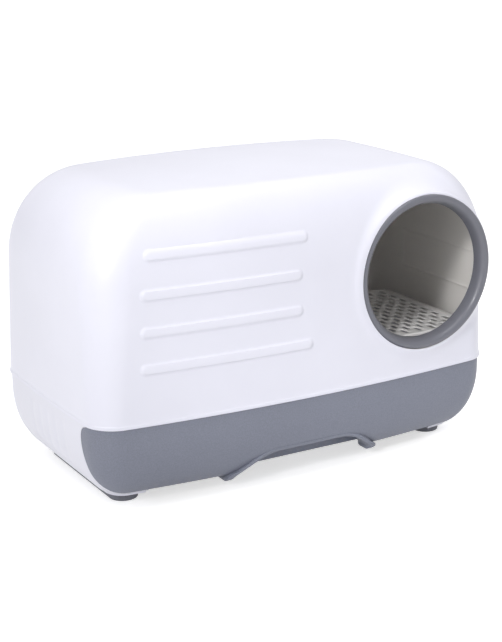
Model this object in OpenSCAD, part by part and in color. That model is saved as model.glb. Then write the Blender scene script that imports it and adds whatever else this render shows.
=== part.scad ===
// Enclosed cat litter box: a lift-off hood with a round entrance, a shallow base with a pull-out
// litter drawer across its whole front, and a perforated step platform inside the entrance.
// X runs along the length, the front faces -Y, Z is up and the origin is on the floor at the centre.

/* [Body] */
// Length over the ends, at the seam between hood and base
body_l = 607; // [590:1:620]
// Depth at the ends, at the seam
body_d = 309; // [300:1:320]
// Height of the top of the hood above the floor
body_h = 400; // [395:1:410]
// How far the front and the back belly out at mid length
front_bulge = 19.5; // [16:0.5:22]
// How far the ends belly out at mid depth
end_bulge = 4.5; // [2:0.5:6]
// Wall of the mouldings
wall = 3; // [2.5:0.5:3.5]

/* [Hood] */
// Height of the seam
seam_z = 117; // [116:1:118]
// Radius of the upright corners at the seam
corner_r = 34.5; // [30:0.5:38]
// Height of the rounding round the top
top_round_h = 114; // [100:1:120]
// How far that rounding reaches in from the ends
top_round_x = 97; // [80:1:100]
// How far that rounding reaches in from the front and the back
top_round_y = 45.5; // [40:0.5:50]

/* [Entrance] */
// Distance of the entrance's axis from mid length
entry_x = 178.4; // [175:0.2:180]
// Height of the entrance's axis
entry_z = 259.2; // [256:0.2:262]
// Radius of the clear opening
entry_r = 93; // [90:0.5:94]
// Outer radius of the rim
rim_r = 105.7; // [104:0.1:107]

/* [Drawer] */
// How far the litter drawer pulls out
drawer_travel = 210; // [150:5:210]
// Half the length of the finger arch in the drawer front
grip_half = 107; // [100:1:109]
// Height of the flat top of the finger arch
grip_top_z = 46.9; // [42:0.1:48]

/* [Step platform] */
// Height of the top of the perforated deck
deck_z = 167; // [160:1:168]
// Slot pitch across the rows
slot_pitch_x = 11.5; // [10:0.5:12]
// Slot pitch along the rows
slot_pitch_y = 26; // [24:1:32]

/* [Hidden] */
half_l = body_l / 2;
half_d = body_d / 2;
gap = 0.5;                  // fit gap between neighbouring mouldings
hood_draft = 0.009;         // lean of the hood's walls per mm of height
corner_grow = 12.7;         // growth of the upright corner radius up the hood
top_corner_k = 0.71;        // how much of the corner radius the top rounding takes away
top_corner_min = 8;
crown = 2.6;                // rise of the roof towards mid length
bead = 0.9;                 // proud lip along the hood's lower edge
side_top_z = body_h - crown - top_round_h;
base_z = 12.4;              // underside of the base
base_inset = 1.2;           // the base stands this far inside the hood's outline
base_round_h = 85.5;
base_round_x = 40;
base_round_y = 47;
base_bottom_e = 0.77;       // share of the rounding at which the bottom edge stops
base_side_z = base_z + base_round_h;
base_top_z = seam_z - gap;
corner_steps = 7;
long_steps = 10;
end_steps = 4;

// the cut between the base and the drawer front, seen from the end: y as a function of z
cut_side_y = -104.8;        // where the base's side is upright
cut_lean = 22;              // how far it has come forward at the drawer front's underside
cut_corner_y = 14;          // rounding of the drawer front's upper corners
cut_corner_h = 15;
cut_corner_z = 99.5;        // where that rounding begins
front_floor_z = 19.5;       // underside of the drawer front
floor_edge_y = -98;         // front edge of the base's floor between the corners
crescent_x = 225;           // outside this the base wraps round under the drawer front

// entrance
land_y = -167;              // face that the rim is seated on
land_t = 3.5;
collar_r = 109;             // the hood's collar round the rim
collar_back_r = 122;
collar_back_y = -115;
rim_nose_r = 101;
rim_nose_y = -172.8;
throat_y = -158.8;          // where the clear opening begins
throat_back_y = -156.5;
throat_wall = 3.3;
retainer_t = 3;
rim_screw_r = 101;
rim_screws_at = [30 : 60 : 330];    // angles round the entrance

// ribs on the hood's face: height of each rib's middle, left end, right end
rib_h = 16;
rib_proud = 2.2;
ribs = [[332, -237, -10], [284, -245, -20], [237, -246, -19], [190.5, -247, -4]];

// rim frame on the base
frame_inset = 4.8;
frame_z = 113.2;
frame_t = 3;
frame_lip_h = 9;
frame_lip_t = 2.5;
frame_open_x = 268;
frame_open_front = -98;
frame_open_back = 126;
beam_x = 88;
beam_w = 18;
beam_h = 8;
ledge_w = 9;
ledge_h = 6;

// drawer
tray_z = 19;
tray_rim_z = 98.3;
tray_rim_h = 3;
tray_half_x = 277;
tray_front_y = -106;
tray_back_y = 134;
// the tray's sides slope out over the base's crescents: z, inset at the sides, at front and back
tray_slope = [[tray_z, 66, 26], [22, 60, 16], [33, 55, 8], [40, 33, 4], [50, 12, 1], [62, 0, 0]];
tray_corner = 24;
rim_reach = 10;             // the tray's rim stands out this far on each side
stop_lug_y = 112;           // front face of the lugs at the rim's back end
stop_lug_x = 295;
stop_lug_l = 8;
front_web_z = 104;          // webs that join the drawer front's skin to the tray's front wall
front_web_x = 285;
front_web_t = 2.5;
boss_x = [-215, -150, 150, 215];
boss_z = 78;
grip_back_y = -122;
grip_flat = 46;             // half the length of the arch's flat top
grip_lip_t = 7;             // the lip at the flat top and at the ends
grip_lip_end_t = 5;
grip_end_z = 17.5;
grip_rise_power = 2;
grip_tip_r = 5.2;           // rounded tips at the lip's ends
grip_tip_out = 5.6;         // their middles, outwards from the arch's ends
grip_tip_z = 14.2;
grip_lip_back_y = -117;
// the lip seen from the side: y, z of its front, round below the tips
grip_side = [[-166.6, 60], [-165.9, 52], [-164.3, 47], [-162.6, 40], [-160, 33], [-155, 25],
    [-150.5, 19.5], [-146, 14.5], [-141, 11], [-136, 9], [-130, 8.4], [-124.5, 9], [-120.5, 11],
    [-118, 13.8]];

// rails, skids, screws
rail_in = 281;
rail_out = 298.6;
rail_z = 92;
rail_h = 6;
rail_front_y = -102;
rail_back_y = 122;
rail_screw_x = 291;
rail_post_in = 287;
rail_post_out = 303.5;
rail_post_l = 12;
rail_post_h = 14;
rail_post_y = [-70, 80];
stop_in = 289.5;            // inner face of the clips at the rails' front ends
stop_t = 2.5;
stop_h = 5;                 // how far they stand above the rail
skid_x = 242.5;
skid_w = 39;
skid_front_y = -111;
skid_back_y = 105;
skid_screw_y = [-80, 0, 80];
frame_screws_at = [[-293, -84], [293, -84], [-293, 96], [293, 96]];

// latches at the back
latch_x = 260;
latch_w = 40;
latch_axis_y = 166;
latch_axis_z = 99;
latch_barrel_r = 3.6;
latch_pin_r = 1.5;
latch_top_z = 129;
latch_back_y = 174;
ear_w = 4;
catch_w = 28;               // ridges on the hood's back under the latches' noses
catch_z = 120;

// step platform
deck_x0 = 70;
deck_x1 = 284;
deck_y0 = -148;
deck_y1 = 72;
deck_t = 3;
deck_corner = 30;
deck_skirt_h = 9;
slot_l = 17.5;
slot_w = 6.5;
slot_edge = 17.5;           // middle of the outer slots from the deck's right edge
leg_at = [[88, -128], [276, -128], [88, 62], [276, 62]];
leg_w = 12;

white = "whitesmoke";
grey = "slategray";
steel = "silver";

// ---------- plan outlines and lofts ----------

function arc(x, y, r, start, steps) =
    [for (i = [0 : steps]) let (t = start + 90 * i / steps) [x + r * cos(t), y + r * sin(t)]];

function between(p, q, steps) = [for (i = [1 : steps - 1]) p + (q - p) * i / steps];

// a rounded rectangle, anticlockwise from the right end
function rounded(a, b, r) =
    let (x = a - r, y = b - r)
    concat(arc(x, y, r, 0, corner_steps), between([x, b], [-x, b], long_steps),
        arc(-x, y, r, 90, corner_steps), between([-a, y], [-a, -y], end_steps),
        arc(-x, -y, r, 180, corner_steps), between([-x, -b], [x, -b], long_steps),
        arc(x, -y, r, 270, corner_steps), between([a, -y], [a, y], end_steps));

// the same with bellied sides
function bellied(a, b, r) =
    [for (p = rounded(a, b, r)) let (u = p[0] / a, v = p[1] / b)
        [p[0] + u * end_bulge * (1 - v * v), p[1] + v * front_bulge * (1 - u * u)]];

function layer(outline, z, rise = 0) =
    [for (p = outline) [p[0], p[1], z + rise * (1 - pow(p[0] / half_l, 2))]];

function shrunk(outline, k) = [for (p = outline) p * k];

// a closed solid through layers of equal count, listed upwards; middle is the top's centre
module loft(layers, middle) {
    n = len(layers[0]);
    m = len(layers);
    top = m * n;
    low_middle = [middle[0], middle[1], layers[0][0][2]];
    faces = concat(
        [for (i = [0 : m - 2], j = [0 : n - 1]) let (k = (j + 1) % n)
            [i * n + j, (i + 1) * n + j, (i + 1) * n + k, i * n + k]],
        [for (j = [0 : n - 1]) [top, (m - 1) * n + (j + 1) % n, (m - 1) * n + j]],
        [for (j = [0 : n - 1]) [top + 1, j, (j + 1) % n]]);
    polyhedron([each [for (l = layers) each l], middle, low_middle], faces, convexity = 6);
}

// hood: outer skin at inset 0, inner skin at inset = wall
function hood_side(z, inset) =
    let (lean = hood_draft * (z - seam_z), f = (z - seam_z) / (side_top_z - seam_z))
    bellied(half_l - inset - lean, half_d - inset - lean,
        corner_r + corner_grow * max(f, 0) - inset);

function hood_top(t, inset) =
    let (e = 1 - cos(t), lean = hood_draft * (side_top_z - seam_z), full = corner_r + corner_grow)
    bellied(half_l - inset - lean - top_round_x * e, half_d - inset - lean - top_round_y * e,
        full - (full - top_corner_min) * e * top_corner_k - inset);

function hood_layers(inset, low_z) = concat(
    [layer(hood_side(low_z, inset), low_z)],
    [for (z = [seam_z + 5.5, 175, 230, side_top_z]) layer(hood_side(z, inset), z)],
    [for (t = [9 : 9 : 90]) layer(hood_top(t, inset),
        side_top_z + (top_round_h - inset) * sin(t), crown * sin(t))],
    [for (k = [0.6, 0.2]) layer(shrunk(hood_top(90, inset), k), body_h - crown - inset, crown)]);

module hood_volume(inset, low_z) {
    loft(hood_layers(inset, low_z), [0, 0, body_h - inset]);
}

// base: outer skin at inset 0, inner skin at inset = wall
function base_ring(round_e, inset) = let (e = min(round_e, base_bottom_e))
    bellied(half_l - base_inset - inset - base_round_x * e,
        half_d - base_inset - inset - base_round_y * e, corner_r * (1 - 0.3 * e) - inset);

function base_layers(inset, top_z) = concat(
    [for (t = [90 : -10 : 0]) layer(base_ring(1 - cos(t), inset),
        base_side_z - (base_round_h - inset) * sin(t))],
    [layer(base_ring(0, inset), top_z)]);

module base_volume(inset, top_z) {
    loft(base_layers(inset, top_z), [0, 0, top_z]);
}

module seam_prism(inset, z0, z1) {
    translate([0, 0, z0]) linear_extrude(z1 - z0)
        polygon(bellied(half_l - inset, half_d - inset, corner_r - inset));
}

// 2D child in (x, z), extruded from y0 to y1
module along_y(y0, y1) {
    translate([0, y1, 0]) rotate([90, 0, 0]) linear_extrude(y1 - y0) children();
}

// 2D child in (y, z), extruded from x0 to x1
module along_x(x0, x1) {
    translate([x0, 0, 0]) rotate([90, 0, 90]) linear_extrude(x1 - x0) children();
}

module rod_y(x, z, r, y0, y1) {
    translate([x, y1, z]) rotate([90, 0, 0]) cylinder(r = r, h = y1 - y0, $fn = 48);
}

module rod_x(y, z, r, x0, x1) {
    translate([x0, y, z]) rotate([0, 90, 0]) cylinder(r = r, h = x1 - x0, $fn = 32);
}

module rod_z(x, y, r, z0, z1) {
    translate([x, y, z0]) cylinder(r = r, h = z1 - z0, $fn = 32);
}

// a pan-head screw along +Z, with its head's underside at the origin
module screw(head_r, head_h, shank_r, shank_l) {
    color(steel) {
        translate([0, 0, -shank_l]) cylinder(r = shank_r, h = shank_l, $fn = 24);
        cylinder(r = head_r, h = head_h, $fn = 32);
    }
}

// ---------- base ----------

// y of the cut at height z
function cut_y(z) = cut_side_y - cut_lean
    * pow(max(0, (base_side_z - z) / (base_side_z - front_floor_z)), 1.6);

// everything in front of the cut, moved back and up by shift
module front_region(shift, floor_z) {
    corner = [for (t = [0 : 15 : 90])
        [cut_side_y - cut_corner_y * (1 - cos(t)), cut_corner_z + cut_corner_h * sin(t)]];
    along_x(-half_l - 40, half_l + 40) polygon(concat(
        [[-260, floor_z]],
        [for (i = [0 : 10]) let (z = front_floor_z + i / 10 * (base_side_z - front_floor_z))
            [cut_y(z) + shift, max(floor_z, z)]],
        [for (p = corner) p + [shift, shift]],
        [[cut_side_y - cut_corner_y + shift, seam_z + 20], [-260, seam_z + 20]]));
}

module ledge() {
    difference() {
        seam_prism(base_inset + wall - 1, frame_z - ledge_h, frame_z);
        seam_prism(base_inset + wall + ledge_w, frame_z - ledge_h - 1, frame_z + 1);
    }
}

module base_tub() color(white) {
    difference() {
        union() {
            difference() {
                base_volume(0, base_top_z);
                base_volume(wall, base_top_z + 20);
            }
            ledge();
            for (p = frame_screws_at) rod_z(p[0], p[1], 5, frame_z - 11, frame_z);
            for (s = [-1, 1], y = rail_post_y)
                translate([s > 0 ? rail_post_in : -rail_post_out, y - rail_post_l / 2, rail_z - rail_post_h])
                    cube([rail_post_out - rail_post_in, rail_post_l, rail_post_h]);
            for (s = [-1, 1], y = skid_screw_y) rod_z(s * skid_x, y, 5, base_z + 1, tray_z - 1.2);
        }
        front_region(0, front_floor_z);
        translate([-crescent_x, -220, 0]) cube([2 * crescent_x, 220 + floor_edge_y, seam_z]);
        for (p = frame_screws_at) rod_z(p[0], p[1], 1.6, frame_z - 9, frame_z + 1);
        for (s = [-1, 1], y = skid_screw_y) rod_z(s * skid_x, y, 2, base_z - 1, tray_z - 2);
        for (s = [-1, 1], y = rail_post_y) rod_z(s * rail_screw_x, y, 1.6, rail_z - 10, rail_z + 1);
    }
    for (s = [-1, 1]) latch_ears(s);
}

module latch_ears(side) {
    for (k = [-1, 1]) {
        x = side * latch_x + k * (latch_w / 2 + gap + ear_w / 2);
        root_y = abs(x) > latch_x ? 151 : 159;
        difference() {
            union() {
                rod_x(latch_axis_y, latch_axis_z, latch_barrel_r, x - ear_w / 2, x + ear_w / 2);
                translate([x - ear_w / 2, root_y, latch_axis_z - latch_barrel_r])
                    cube([ear_w, latch_axis_y - root_y, 2 * latch_barrel_r]);
            }
            rod_x(latch_axis_y, latch_axis_z, latch_pin_r, x - ear_w, x + ear_w);
        }
    }
}

module rim_frame() color(white) {
    difference() {
        union() {
            seam_prism(frame_inset, frame_z, frame_z + frame_t);
            difference() {
                seam_prism(frame_inset, frame_z, frame_z + frame_t + frame_lip_h);
                seam_prism(frame_inset + frame_lip_t, frame_z, frame_z + frame_t + frame_lip_h + 1);
            }
            frame_opening(2.5, frame_z - 8, frame_z + 1);
        }
        difference() {
            frame_opening(0, frame_z - 9, frame_z + frame_t + 1);
            translate([beam_x - beam_w / 2, -200, frame_z + frame_t - beam_h])
                cube([beam_w, 400, beam_h]);
        }
        for (p = frame_screws_at) rod_z(p[0], p[1], 1.7, frame_z - 1, frame_z + frame_t + 1);
    }
}

// the opening over the tray, grown by grow
module frame_opening(grow, z0, z1) {
    mid = (frame_open_front + frame_open_back) / 2;
    half = (frame_open_back - frame_open_front) / 2;
    translate([0, mid, z0]) linear_extrude(z1 - z0)
        polygon(rounded(frame_open_x + grow, half + grow, 20 + grow));
}

module frame_screws() {
    for (p = frame_screws_at) translate([p[0], p[1], frame_z + frame_t]) screw(3.2, 2, 1.5, 11);
}

module skid(side) color(grey) {
    mid = side * skid_x;
    r = skid_w / 2;
    difference() {
        union() {
            translate([mid - r, skid_front_y + r, 0])
                cube([skid_w, skid_back_y - skid_front_y - skid_w, base_z]);
            for (y = [skid_front_y + r, skid_back_y - r])
                translate([mid, y, 0]) cylinder(r = r, h = base_z, $fn = 72);
        }
        for (y = skid_screw_y) {
            rod_z(mid, y, 2.1, -1, base_z + 1);
            rod_z(mid, y, 4.6, -1, 6);
        }
    }
}

module skid_screws() {
    for (s = [-1, 1], y = skid_screw_y)
        translate([s * skid_x, y, 6]) rotate([180, 0, 0]) screw(4.2, 2.4, 1.9, 10.5);
}

module rail(side) color(grey) {
    difference() {
        translate([side > 0 ? rail_in : -rail_out, rail_front_y, rail_z])
            cube([rail_out - rail_in, rail_back_y - rail_front_y, rail_h]);
        for (y = rail_post_y) {
            rod_z(side * rail_screw_x, y, 1.7, rail_z - 1, rail_z + rail_h + 1);
            rod_z(side * rail_screw_x, y, 3.4, rail_z + 3.6, rail_z + rail_h + 1);
        }
    }
}

module rail_screws() {
    for (s = [-1, 1], y = rail_post_y)
        translate([s * rail_screw_x, y, rail_z + 3.6]) screw(3.1, 2, 1.5, 12);
}

// a clip on the rail's front end that the tray's lug meets when the drawer is fully out
module rail_stop(side) color(grey) {
    x0 = side > 0 ? stop_in : -rail_out;
    w = rail_out - stop_in;
    lug_stop = stop_lug_y - drawer_travel;
    translate([x0, rail_front_y, rail_z + rail_h]) cube([w, lug_stop - rail_front_y, stop_h]);
    translate([x0, rail_front_y - stop_t, rail_z]) cube([w, stop_t, rail_h + stop_h]);
}

// ---------- latches ----------

module latch_pin(side) color(steel) {
    half = latch_w / 2 + gap + ear_w;
    rod_x(latch_axis_y, latch_axis_z, latch_pin_r, side * latch_x - half, side * latch_x + half);
}

// profile in (y, z): a barrel, an arm, a pointed thumb tab and a nose towards the hood
module latch(side) color(white) {
    x0 = side * latch_x - latch_w / 2;
    difference() {
        union() {
            rod_x(latch_axis_y, latch_axis_z, latch_barrel_r, x0, x0 + latch_w);
            along_x(x0, x0 + latch_w) polygon([
                [latch_axis_y - 1.6, latch_axis_z + 1], [latch_axis_y + 2.6, latch_axis_z + 1],
                [latch_axis_y + 3, 112], [latch_back_y, 118], [latch_back_y, 119.5],
                [latch_axis_y + 3, 125], [latch_axis_y + 1.5, latch_top_z],
                [164.4, latch_top_z], [164.4, latch_top_z - 4], [latch_axis_y - 1, 122]]);
        }
        rod_x(latch_axis_y, latch_axis_z, latch_pin_r + 0.06, x0 - 1, x0 + latch_w + 1);
    }
}

// ---------- drawer ----------

function tray_ring(z, side_in, end_in, inset) =
    let (half_y = (tray_back_y - tray_front_y) / 2)
    [for (p = rounded(tray_half_x - inset - side_in, half_y - inset - end_in, tray_corner - inset))
        [p[0], p[1] + (tray_back_y + tray_front_y) / 2, z]];

function tray_layers(inset, top_z) = concat(
    [for (s = tray_slope) tray_ring(s[0] + inset, s[1], s[2], inset)],
    [tray_ring(top_z, 0, 0, inset)]);

module tray_volume(inset, top_z) {
    loft(tray_layers(inset, top_z), [0, (tray_back_y + tray_front_y) / 2, top_z]);
}

module drawer_tray() color(white) {
    top = tray_rim_z + tray_rim_h;
    difference() {
        union() {
            tray_volume(0, top);
            translate([-tray_half_x - rim_reach, tray_front_y + tray_corner, tray_rim_z])
                cube([2 * (tray_half_x + rim_reach), stop_lug_y + stop_lug_l - tray_front_y - tray_corner,
                    tray_rim_h]);
            translate([-stop_lug_x, stop_lug_y, tray_rim_z])
                cube([2 * stop_lug_x, stop_lug_l, tray_rim_h]);
        }
        tray_volume(2.5, top + 10);
        for (x = boss_x) rod_y(x, boss_z, 1.7, tray_front_y - 1, tray_front_y + 4);
    }
}

// the inside of the finger arch in (x, z): flat on top, sloping out to the tips
function arch_slope(x) = max(0, (abs(x) - grip_flat) / (grip_half - grip_flat));
function arch_z(x) = grip_top_z - (grip_top_z - grip_end_z) * pow(arch_slope(x), grip_rise_power);
function lip_t(x) = grip_lip_t - (grip_lip_t - grip_lip_end_t) * arch_slope(x);

// grown outwards by the lip's thickness times share, and by clear
function arch_points(share, clear) =
    [for (i = [-20 : 20]) let (x = i / 20 * grip_half, slope = arch_z(x + 0.5) - arch_z(x - 0.5),
            n = sqrt(1 + slope * slope), grow = share * lip_t(x) + clear)
        [x - grow * slope / n, arch_z(x) + grow / n]];

module arch_area(share, clear, low_z) {
    p = arch_points(share, clear);
    polygon(concat([[p[0][0], low_z]], p, [[p[len(p) - 1][0], low_z]]));
}

// the outside of the grip's lip with its rounded tips, grown by clear
module lip_area(clear, low_z) {
    arch_area(1, clear, low_z);
    for (s = [-1, 1]) translate([s * (grip_half + grip_tip_out), grip_tip_z])
        circle(r = grip_tip_r + clear, $fn = 32);
}

// where the lip may be, seen from the side
module lip_reach() {
    along_x(-150, 150) polygon(concat(grip_side, [[grip_lip_back_y, 17], [grip_lip_back_y, 60]]));
}

module panel_bosses() {
    for (x = boss_x) rod_y(x, boss_z, 5, -190, tray_front_y - 0.05);
}

module drawer_front() color(grey) {
    difference() {
        union() {
            difference() {
                base_volume(0, base_top_z - 0.3);
                base_volume(wall, base_top_z + 20);
                behind_cut();
            }
            intersection() {
                base_volume(1, base_top_z - 0.3);
                union() {
                    panel_bosses();
                    translate([-front_web_x, -200, front_web_z])
                        cube([2 * front_web_x, 200 + tray_front_y - 0.05, front_web_t]);
                }
                front_region(0, front_floor_z + gap);
            }
        }
        along_y(-200, grip_lip_back_y + 5) lip_area(0.15, 0);
        for (x = boss_x) rod_y(x, boss_z, 1.5, -125, tray_front_y + 1);
    }
}

// all that lies behind the cut or under the drawer front
module behind_cut() {
    difference() {
        translate([-400, -300, -10]) cube([800, 600, 200]);
        front_region(-gap, front_floor_z + gap);
    }
}

module grip_liner() color(grey) {
    intersection() {
        along_y(-190, grip_lip_back_y) difference() {
            lip_area(0, grip_end_z);
            arch_area(0, 0, 0);
        }
        lip_reach();
    }
    intersection() {
        along_y(grip_back_y, grip_back_y + 3) lip_area(0, front_floor_z);
        translate([-150, -150, front_floor_z]) cube([300, 60, 60]);
    }
}

module front_screws() {
    for (x = boss_x) translate([x, tray_front_y + 2.5, boss_z]) rotate([-90, 0, 0])
        screw(3.4, 2, 1.45, 18);
}

// ---------- hood ----------

module entry_cone(back_y, back_r, front_y, front_r) {
    translate([entry_x, back_y, entry_z]) rotate([90, 0, 0])
        cylinder(r1 = back_r, r2 = front_r, h = back_y - front_y, $fn = 96);
}

module rib_area(rib) {
    r = rib_h / 2;
    translate([rib[1] + r, rib[0] - r]) square([rib[2] - rib[1] - rib_h, rib_h]);
    for (x = [rib[1] + r, rib[2] - r]) translate([x, rib[0]]) circle(r = r, $fn = 32);
}

module hood_shell() color(white) {
    difference() {
        union() {
            hood_volume(0, seam_z);
            entry_cone(collar_back_y, collar_back_r, land_y - 1, collar_r);
            intersection() {
                along_y(-200, -140) for (rib = ribs) rib_area(rib);
                hood_volume(-rib_proud, seam_z);
            }
            hood_bead();
            for (s = [-1, 1]) hood_catch(s);
        }
        difference() {
            hood_volume(wall, seam_z - 5);
            rod_y(entry_x, entry_z, collar_r + 2, -200, land_y + land_t);
        }
        entry_cone(collar_back_y + 3, collar_back_r - 1.5, land_y + land_t, collar_r - 3);
        rod_y(entry_x, entry_z, entry_r + throat_wall + 0.3, -200, -100);
        rod_y(entry_x, entry_z, rim_r + 0.3, -200, land_y);
        for (a = rim_screws_at) rim_hole(a, 1.7, land_y - 1, land_y + land_t + 1);
    }
}

module hood_bead() {
    difference() {
        seam_prism(-bead, seam_z, seam_z + 4);
        seam_prism(1, seam_z - 1, seam_z + 5);
    }
}

// a ridge on the hood's back, just under the latch's nose
module hood_catch(side) {
    translate([side * latch_x - catch_w / 2, 156, catch_z]) cube([catch_w, 8, 3.5]);
}

module rim_hole(angle, r, y0, y1) {
    rod_y(entry_x + rim_screw_r * cos(angle), entry_z + rim_screw_r * sin(angle), r, y0, y1);
}

// revolved about the entrance's axis; the profile's second value is the distance ahead of y = 0
module about_entry() {
    translate([entry_x, 0, entry_z]) rotate([90, 0, 0]) rotate_extrude($fn = 128) children();
}

module entrance_ring() color(grey) {
    nose = -rim_nose_y;
    throat = -throat_y;
    edge = 3;
    difference() {
        about_entry() polygon(concat(
            [[entry_r, -throat_back_y]],
            [for (t = [0 : 15 : 90]) [rim_nose_r - (rim_nose_r - entry_r) * cos(t),
                throat + (nose - throat) * sin(t)]],
            [for (t = [30 : 30 : 90]) [rim_nose_r + (rim_r - rim_nose_r) * sin(t),
                nose - edge + edge * cos(t)]],
            [[rim_r, -land_y + 0.05], [entry_r + throat_wall, -land_y + 0.05],
                [entry_r + throat_wall, -throat_back_y]]));
        for (a = rim_screws_at) rim_hole(a, 1.5, land_y - 3, land_y + 1);
    }
}

module ring_retainer() color(grey) {
    back = -land_y - land_t;
    difference() {
        about_entry() translate([entry_r + throat_wall + 0.3, back - retainer_t])
            square([collar_r - 4 - entry_r - throat_wall - 0.3, retainer_t]);
        for (a = rim_screws_at) rim_hole(a, 1.7, -back - 1, -back + retainer_t + 1);
    }
}

module ring_screws() {
    back_y = land_y + land_t + retainer_t;
    for (a = rim_screws_at)
        translate([entry_x + rim_screw_r * cos(a), back_y, entry_z + rim_screw_r * sin(a)])
            rotate([-90, 0, 0]) screw(2.9, 1.8, 1.45, 8.5);
}

// ---------- step platform ----------

// one slot along Y with pointed-round ends, as a closed path
function slot(x, y) =
    let (h = slot_l / 2, w = slot_w / 2, c = slot_w * 0.32)
    [[x - w, y - h + c], [x - w + c, y - h], [x + w - c, y - h], [x + w, y - h + c],
        [x + w, y + h - c], [x + w - c, y + h], [x - w + c, y + h], [x - w, y + h - c]];

slot_cols = floor((deck_x1 - deck_x0 - slot_edge - 13) / slot_pitch_x);
slots = [for (i = [0 : slot_cols]) let (x = deck_x1 - slot_edge - i * slot_pitch_x, odd = i % 2)
    for (y = [deck_y0 + 19 + odd * slot_pitch_y / 2 : slot_pitch_y : deck_y1 - 16]) slot(x, y)];

module deck_area() {
    outline = rounded_at(deck_x0, deck_x1, deck_y0, deck_y1, deck_corner);
    points = concat(outline, [for (s = slots) each s]);
    n = len(outline);
    polygon(points, concat([[for (i = [0 : n - 1]) i]],
        [for (k = [0 : len(slots) - 1]) [for (i = [0 : 7]) n + 8 * k + i]]));
}

function rounded_at(x0, x1, y0, y1, r) =
    [for (p = rounded((x1 - x0) / 2, (y1 - y0) / 2, r)) [p[0] + (x0 + x1) / 2, p[1] + (y0 + y1) / 2]];

module step_platform() color("gainsboro") {
    translate([0, 0, deck_z - deck_t]) linear_extrude(deck_t) deck_area();
    translate([0, 0, deck_z - deck_skirt_h]) linear_extrude(deck_skirt_h - deck_t + 0.5) difference() {
        polygon(rounded_at(deck_x0, deck_x1, deck_y0, deck_y1, deck_corner));
        polygon(rounded_at(deck_x0 + 2.5, deck_x1 - 2.5, deck_y0 + 2.5, deck_y1 - 2.5, deck_corner - 2.5));
    }
    for (p = leg_at)
        translate([p[0] - leg_w / 2, p[1] - leg_w / 2, frame_z + frame_t])
            cube([leg_w, leg_w, deck_z - deck_t - frame_z - frame_t + 0.5]);
}

// ---------- nodes ----------

base_tub();
rim_frame();
skid(-1);  // left_skid
skid(1);  // right_skid
skid_screws();
frame_screws();
rail(-1);  // left_rail
rail(1);  // right_rail
rail_screws();
rail_stop(-1);  // left_stop
rail_stop(1);  // right_stop
latch_pin(-1);  // left_latch_pin
latch_pin(1);  // right_latch_pin
latch(-1);  // left_latch
latch(1);  // right_latch
drawer_tray();
drawer_front();
grip_liner();
front_screws();
hood_shell();
entrance_ring();
ring_retainer();
ring_screws();
step_platform();
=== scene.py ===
# %% [markdown]
# # An enclosed cat litter box
#
# The real object is a moulded hood with a round entrance, a shallow base with a pull-out litter
# drawer across its front, and a perforated step platform inside. The exact solids are loaded
# first, as the frame, and every piece here is laid over them in the same place. So the lesson is
# about surfaces: smooth skins, soft edges, small details and finishes.

import math

import bmesh
import bpy
import numpy as np
from mathutils import Matrix, Vector


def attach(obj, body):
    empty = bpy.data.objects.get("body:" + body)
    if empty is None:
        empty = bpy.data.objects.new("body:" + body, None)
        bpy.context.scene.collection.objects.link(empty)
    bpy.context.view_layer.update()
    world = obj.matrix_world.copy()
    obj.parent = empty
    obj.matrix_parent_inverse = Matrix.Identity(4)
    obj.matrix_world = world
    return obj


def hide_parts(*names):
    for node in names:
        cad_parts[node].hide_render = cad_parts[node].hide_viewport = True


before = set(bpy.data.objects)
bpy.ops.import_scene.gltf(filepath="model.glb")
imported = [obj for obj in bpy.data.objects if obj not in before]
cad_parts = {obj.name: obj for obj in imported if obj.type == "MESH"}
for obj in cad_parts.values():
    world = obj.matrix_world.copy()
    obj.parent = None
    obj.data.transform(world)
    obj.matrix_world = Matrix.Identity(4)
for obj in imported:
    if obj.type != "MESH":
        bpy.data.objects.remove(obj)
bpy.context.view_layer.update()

# %% [markdown]
# ## Sizes
#
# Moulds are drawn in millimetres, so this file keeps its sizes in millimetres and turns them into
# metres only when a mesh is made.

# %% Main sizes in millimetres
MM = 0.001
HALF_LENGTH, HALF_DEPTH, HEIGHT = 303.5, 154.5, 400.0
FRONT_BULGE, END_BULGE = 19.5, 4.5
CORNER_RADIUS = 34.5
WALL = 3.0
SEAM_Z = 117.0

# %% [markdown]
# ## A mesh maker
#
# Every piece goes through one small function, which scales its points to metres, makes its faces
# point outwards and shades it smooth, except where two faces meet at a clear angle. Another puts
# it on its body and hides the solid it stands for.

# %% A finished mesh piece
SHARP_ANGLE, SHARP_AFTER_BEVEL = math.radians(32), math.radians(50)
SAME_POINT = 1e-6


def in_scene(name, data):
    """A new object in the scene, at the origin."""
    obj = bpy.data.objects.new(name, data)
    bpy.context.scene.collection.objects.link(obj)
    return obj


def settle(obj, body, node, finish=None):
    """Give a finished piece its material and its body, and hide the solid it stands for."""
    if finish is not None:
        obj.data.materials.clear()
        obj.data.materials.append(finish)
    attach(obj, body)
    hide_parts(node)


def shade(mesh, angle=SHARP_ANGLE):
    mesh.polygons.foreach_set("use_smooth", [True] * len(mesh.polygons))
    mesh.set_sharp_from_angle(angle=angle)


def start_mesh(name, points, edges=(), faces=()):
    """A mesh from points in millimetres."""
    mesh = bpy.data.meshes.new(name)
    mesh.from_pydata((np.asarray(points, float) * MM).tolist(), list(edges), list(faces))
    return mesh


def cleaned(mesh):
    """Merge doubled points, turn the normals outwards and shade the mesh."""
    bm = bmesh.new()
    bm.from_mesh(mesh)
    bmesh.ops.remove_doubles(bm, verts=bm.verts, dist=SAME_POINT)
    bmesh.ops.recalc_face_normals(bm, faces=bm.faces)
    bm.to_mesh(mesh)
    bm.free()
    shade(mesh)
    return mesh


def piece(name, points, faces):
    """A closed piece from points in millimetres."""
    return in_scene(name, cleaned(start_mesh(name, points, (), faces)))


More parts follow.
